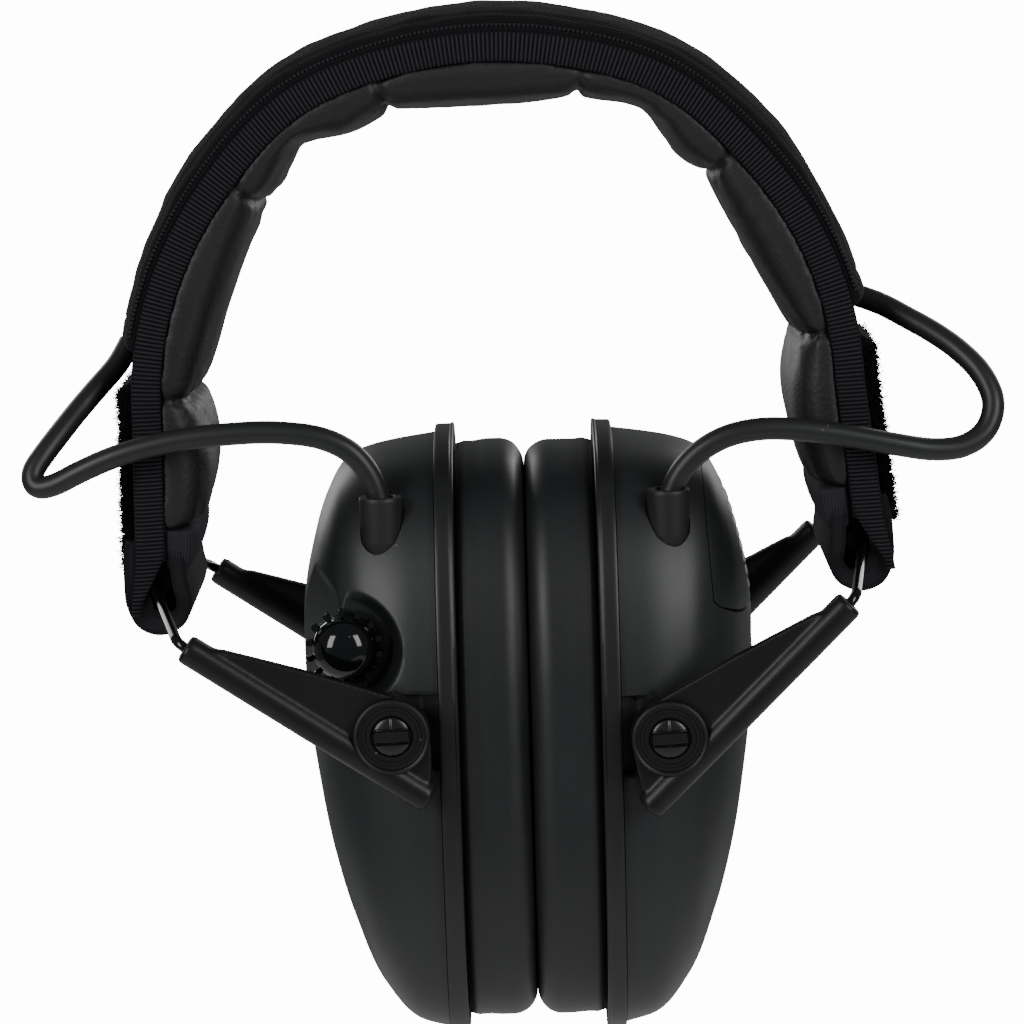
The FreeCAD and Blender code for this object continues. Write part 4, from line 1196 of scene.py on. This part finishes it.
# %% Cables
CABLE_R = 2.05
ROUTES = {
    "left": [(-66.4, -4.0, -38.1), (-68.6, -6.5, -41.6), (-71.9, -9.5, -44.9), (-75.4, -13.0, -48.4),
             (-78.9, -17.0, -52.2), (-82.1, -20.0, -55.9), (-84.1, -21.5, -58.8), (-83.5, -22.5, -61.0),
             (-80.6, -23.2, -60.8), (-76.0, -24.0, -58.8), (-69.5, -24.6, -56.3), (-60.4, -25.0, -54.2),
             (-48.7, -25.3, -53.2), (-38.0, -25.5, -53.6), (-31.0, -25.5, -55.2), (-26.4, -25.4, -58.0),
             (-23.5, -25.0, -62.2), (-22.0, -24.6, -68.3)],
    "right": [(66.4, -4.0, -38.1), (70.2, -5.5, -39.6), (74.4, -8.0, -42.0), (79.3, -12.0, -44.9),
              (83.3, -15.5, -48.0), (86.7, -18.5, -52.0), (88.3, -21.0, -57.0), (86.5, -22.5, -61.6),
              (82.4, -23.5, -64.0), (77.1, -24.2, -64.2), (70.9, -24.8, -62.9), (62.1, -25.2, -60.7),
              (53.3, -25.5, -58.9), (46.2, -25.6, -58.3), (39.9, -25.6, -59.3), (34.8, -25.4, -62.0),
              (31.2, -25.0, -65.8), (29.2, -24.6, -70.2)],
}
LAST_SPANS = (33.0, 32.0)           # mm of cable in the last length and in the one before it


def cable_line(route, count=900):
    """Points evenly along the smooth line through the route, so that the three lengths share one line."""
    points = smooth_line(route, 4 * count)
    ease_window = np.hanning(count // 4)
    half = len(ease_window) // 2
    padded = np.concatenate([2 * points[:1] - points[half:0:-1], points, 2 * points[-1:] - points[-2:-half - 2:-1]])
    points = np.stack([np.convolve(padded[:, k], ease_window / ease_window.sum(), "same")[half:half + 4 * count]
                       for k in range(3)], -1)
    length = lengths(points)
    t = np.linspace(0, length[-1], count)
    return at_lengths(points, length, t), length[-1]


def tube_rings(line, radius, around=28):
    """Rings that stand across the line; each ring's first point is carried along without twisting."""
    tangent = unit(np.gradient(line, axis=0))
    reference = np.array([0.0, 1.0, 0.0])
    u = unit(reference - tangent * (tangent @ reference)[:, None])
    v = np.cross(tangent, u)
    a = circle(around)
    return line[:, None] + radius * (u[:, None] * np.cos(a)[None, :, None] + v[:, None] * np.sin(a)[None, :, None])


for name, side in SIDES.items():
    line, length = cable_line(ROUTES[name])
    step = length / (len(line) - 1)
    second = len(line) - 1 - int(LAST_SPANS[0] / step)
    first = second - int(LAST_SPANS[1] / step)
    spans = [(0, first, "headband", name + "_yoke"), (first, second, name + "_yoke", name + "_arms"),
             (second, len(line) - 1, name + "_arms", name + "_cup")]
    for number, (start, end, near, far) in enumerate(spans, 1):
        part = line[start:end + 1]
        rings = tube_rings(part[np.linspace(0, len(part) - 1, 120).round().astype(int)], CABLE_R)
        piece = closed("%s_cable_%d" % (name, number), rings, sharp=50)
        piece.data.materials.append(cable_rubber)
        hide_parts(name + "_cable")
        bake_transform(piece)

# %% Materials of the pieces kept from the frame
KEPT = {"left_yoke_wire": black_wire, "right_yoke_wire": black_wire, "spring_band": inner_dark, "audio_jack": steel,
        "volume_control": steel, "band_lead": cable_rubber}
for name, node in frame["nodes"].items():
    if name in KEPT:
        node.data.materials.clear()
        node.data.materials.append(KEPT[name])
print("materials on kept pieces", sorted(KEPT))

# %% [markdown]
# ## Studio
# A bright even backdrop makes the background white. Two tall soft boxes stand in front, at the sides, and the knob
# mirrors them as two windows. A low box lights the cups from below, and two more light the back.

# %% Backdrop and light
FLOOR_Z, FLOOR_HALF = -600.0, 1000.0
BACKDROP_STRENGTH, FILL_STRENGTH = 14.0, 0.16
corners = [(x * FLOOR_HALF, y * FLOOR_HALF, FLOOR_Z) for x, y in ((-1, -1), (1, -1), (1, 1), (-1, 1))]
floor = new_piece("floor", corners, [(0, 1, 2, 3)])
floor_white, _ = shader("floor_white", (0.85, 0.85, 0.85), 0.9)
floor.data.materials.append(floor_white)

world = bpy.data.worlds.new("studio")
world.use_nodes = True
nodes, links = world.node_tree.nodes, world.node_tree.links
seen, lit = nodes["Background"], nodes.new("ShaderNodeBackground")
seen.inputs["Color"].default_value, seen.inputs["Strength"].default_value = (1.0, 1.0, 1.0, 1), BACKDROP_STRENGTH
lit.inputs["Color"].default_value, lit.inputs["Strength"].default_value = (0.95, 0.98, 1.0, 1), FILL_STRENGTH
path, mix = nodes.new("ShaderNodeLightPath"), nodes.new("ShaderNodeMixShader")
links.new(path.outputs["Is Camera Ray"], mix.inputs[0])
links.new(lit.outputs[0], mix.inputs[1])
links.new(seen.outputs[0], mix.inputs[2])
links.new(mix.outputs[0], nodes["World Output"].inputs["Surface"])
bpy.context.scene.world = world


MIDDLE_M = Vector((0, 0, -0.08))


def soft_box(name, place_m, size, power):
    """Area lamp that faces the middle of the earmuff, with its place and size in metres and its power in watts."""
    data = bpy.data.lights.new(name, "AREA")
    data.shape, data.size, data.size_y, data.energy = "RECTANGLE", size[0], size[1], power
    lamp = new_object(name, data)
    lamp.location = place_m
    lamp.rotation_euler = (MIDDLE_M - Vector(place_m)).to_track_quat("-Z", "Y").to_euler()


soft_box("left_box", (-0.75, -0.85, 0.36), (0.40, 0.75), 7)
soft_box("right_box", (0.80, -0.85, 0.36), (0.40, 0.75), 7)
soft_box("low_box", (0.05, 0.10, -0.75), (0.80, 0.50), 3)
soft_box("back_right_box", (0.60, 0.85, 0.25), (0.50, 0.75), 4)
soft_box("back_left_box", (-0.60, 0.85, 0.25), (0.50, 0.75), 4)
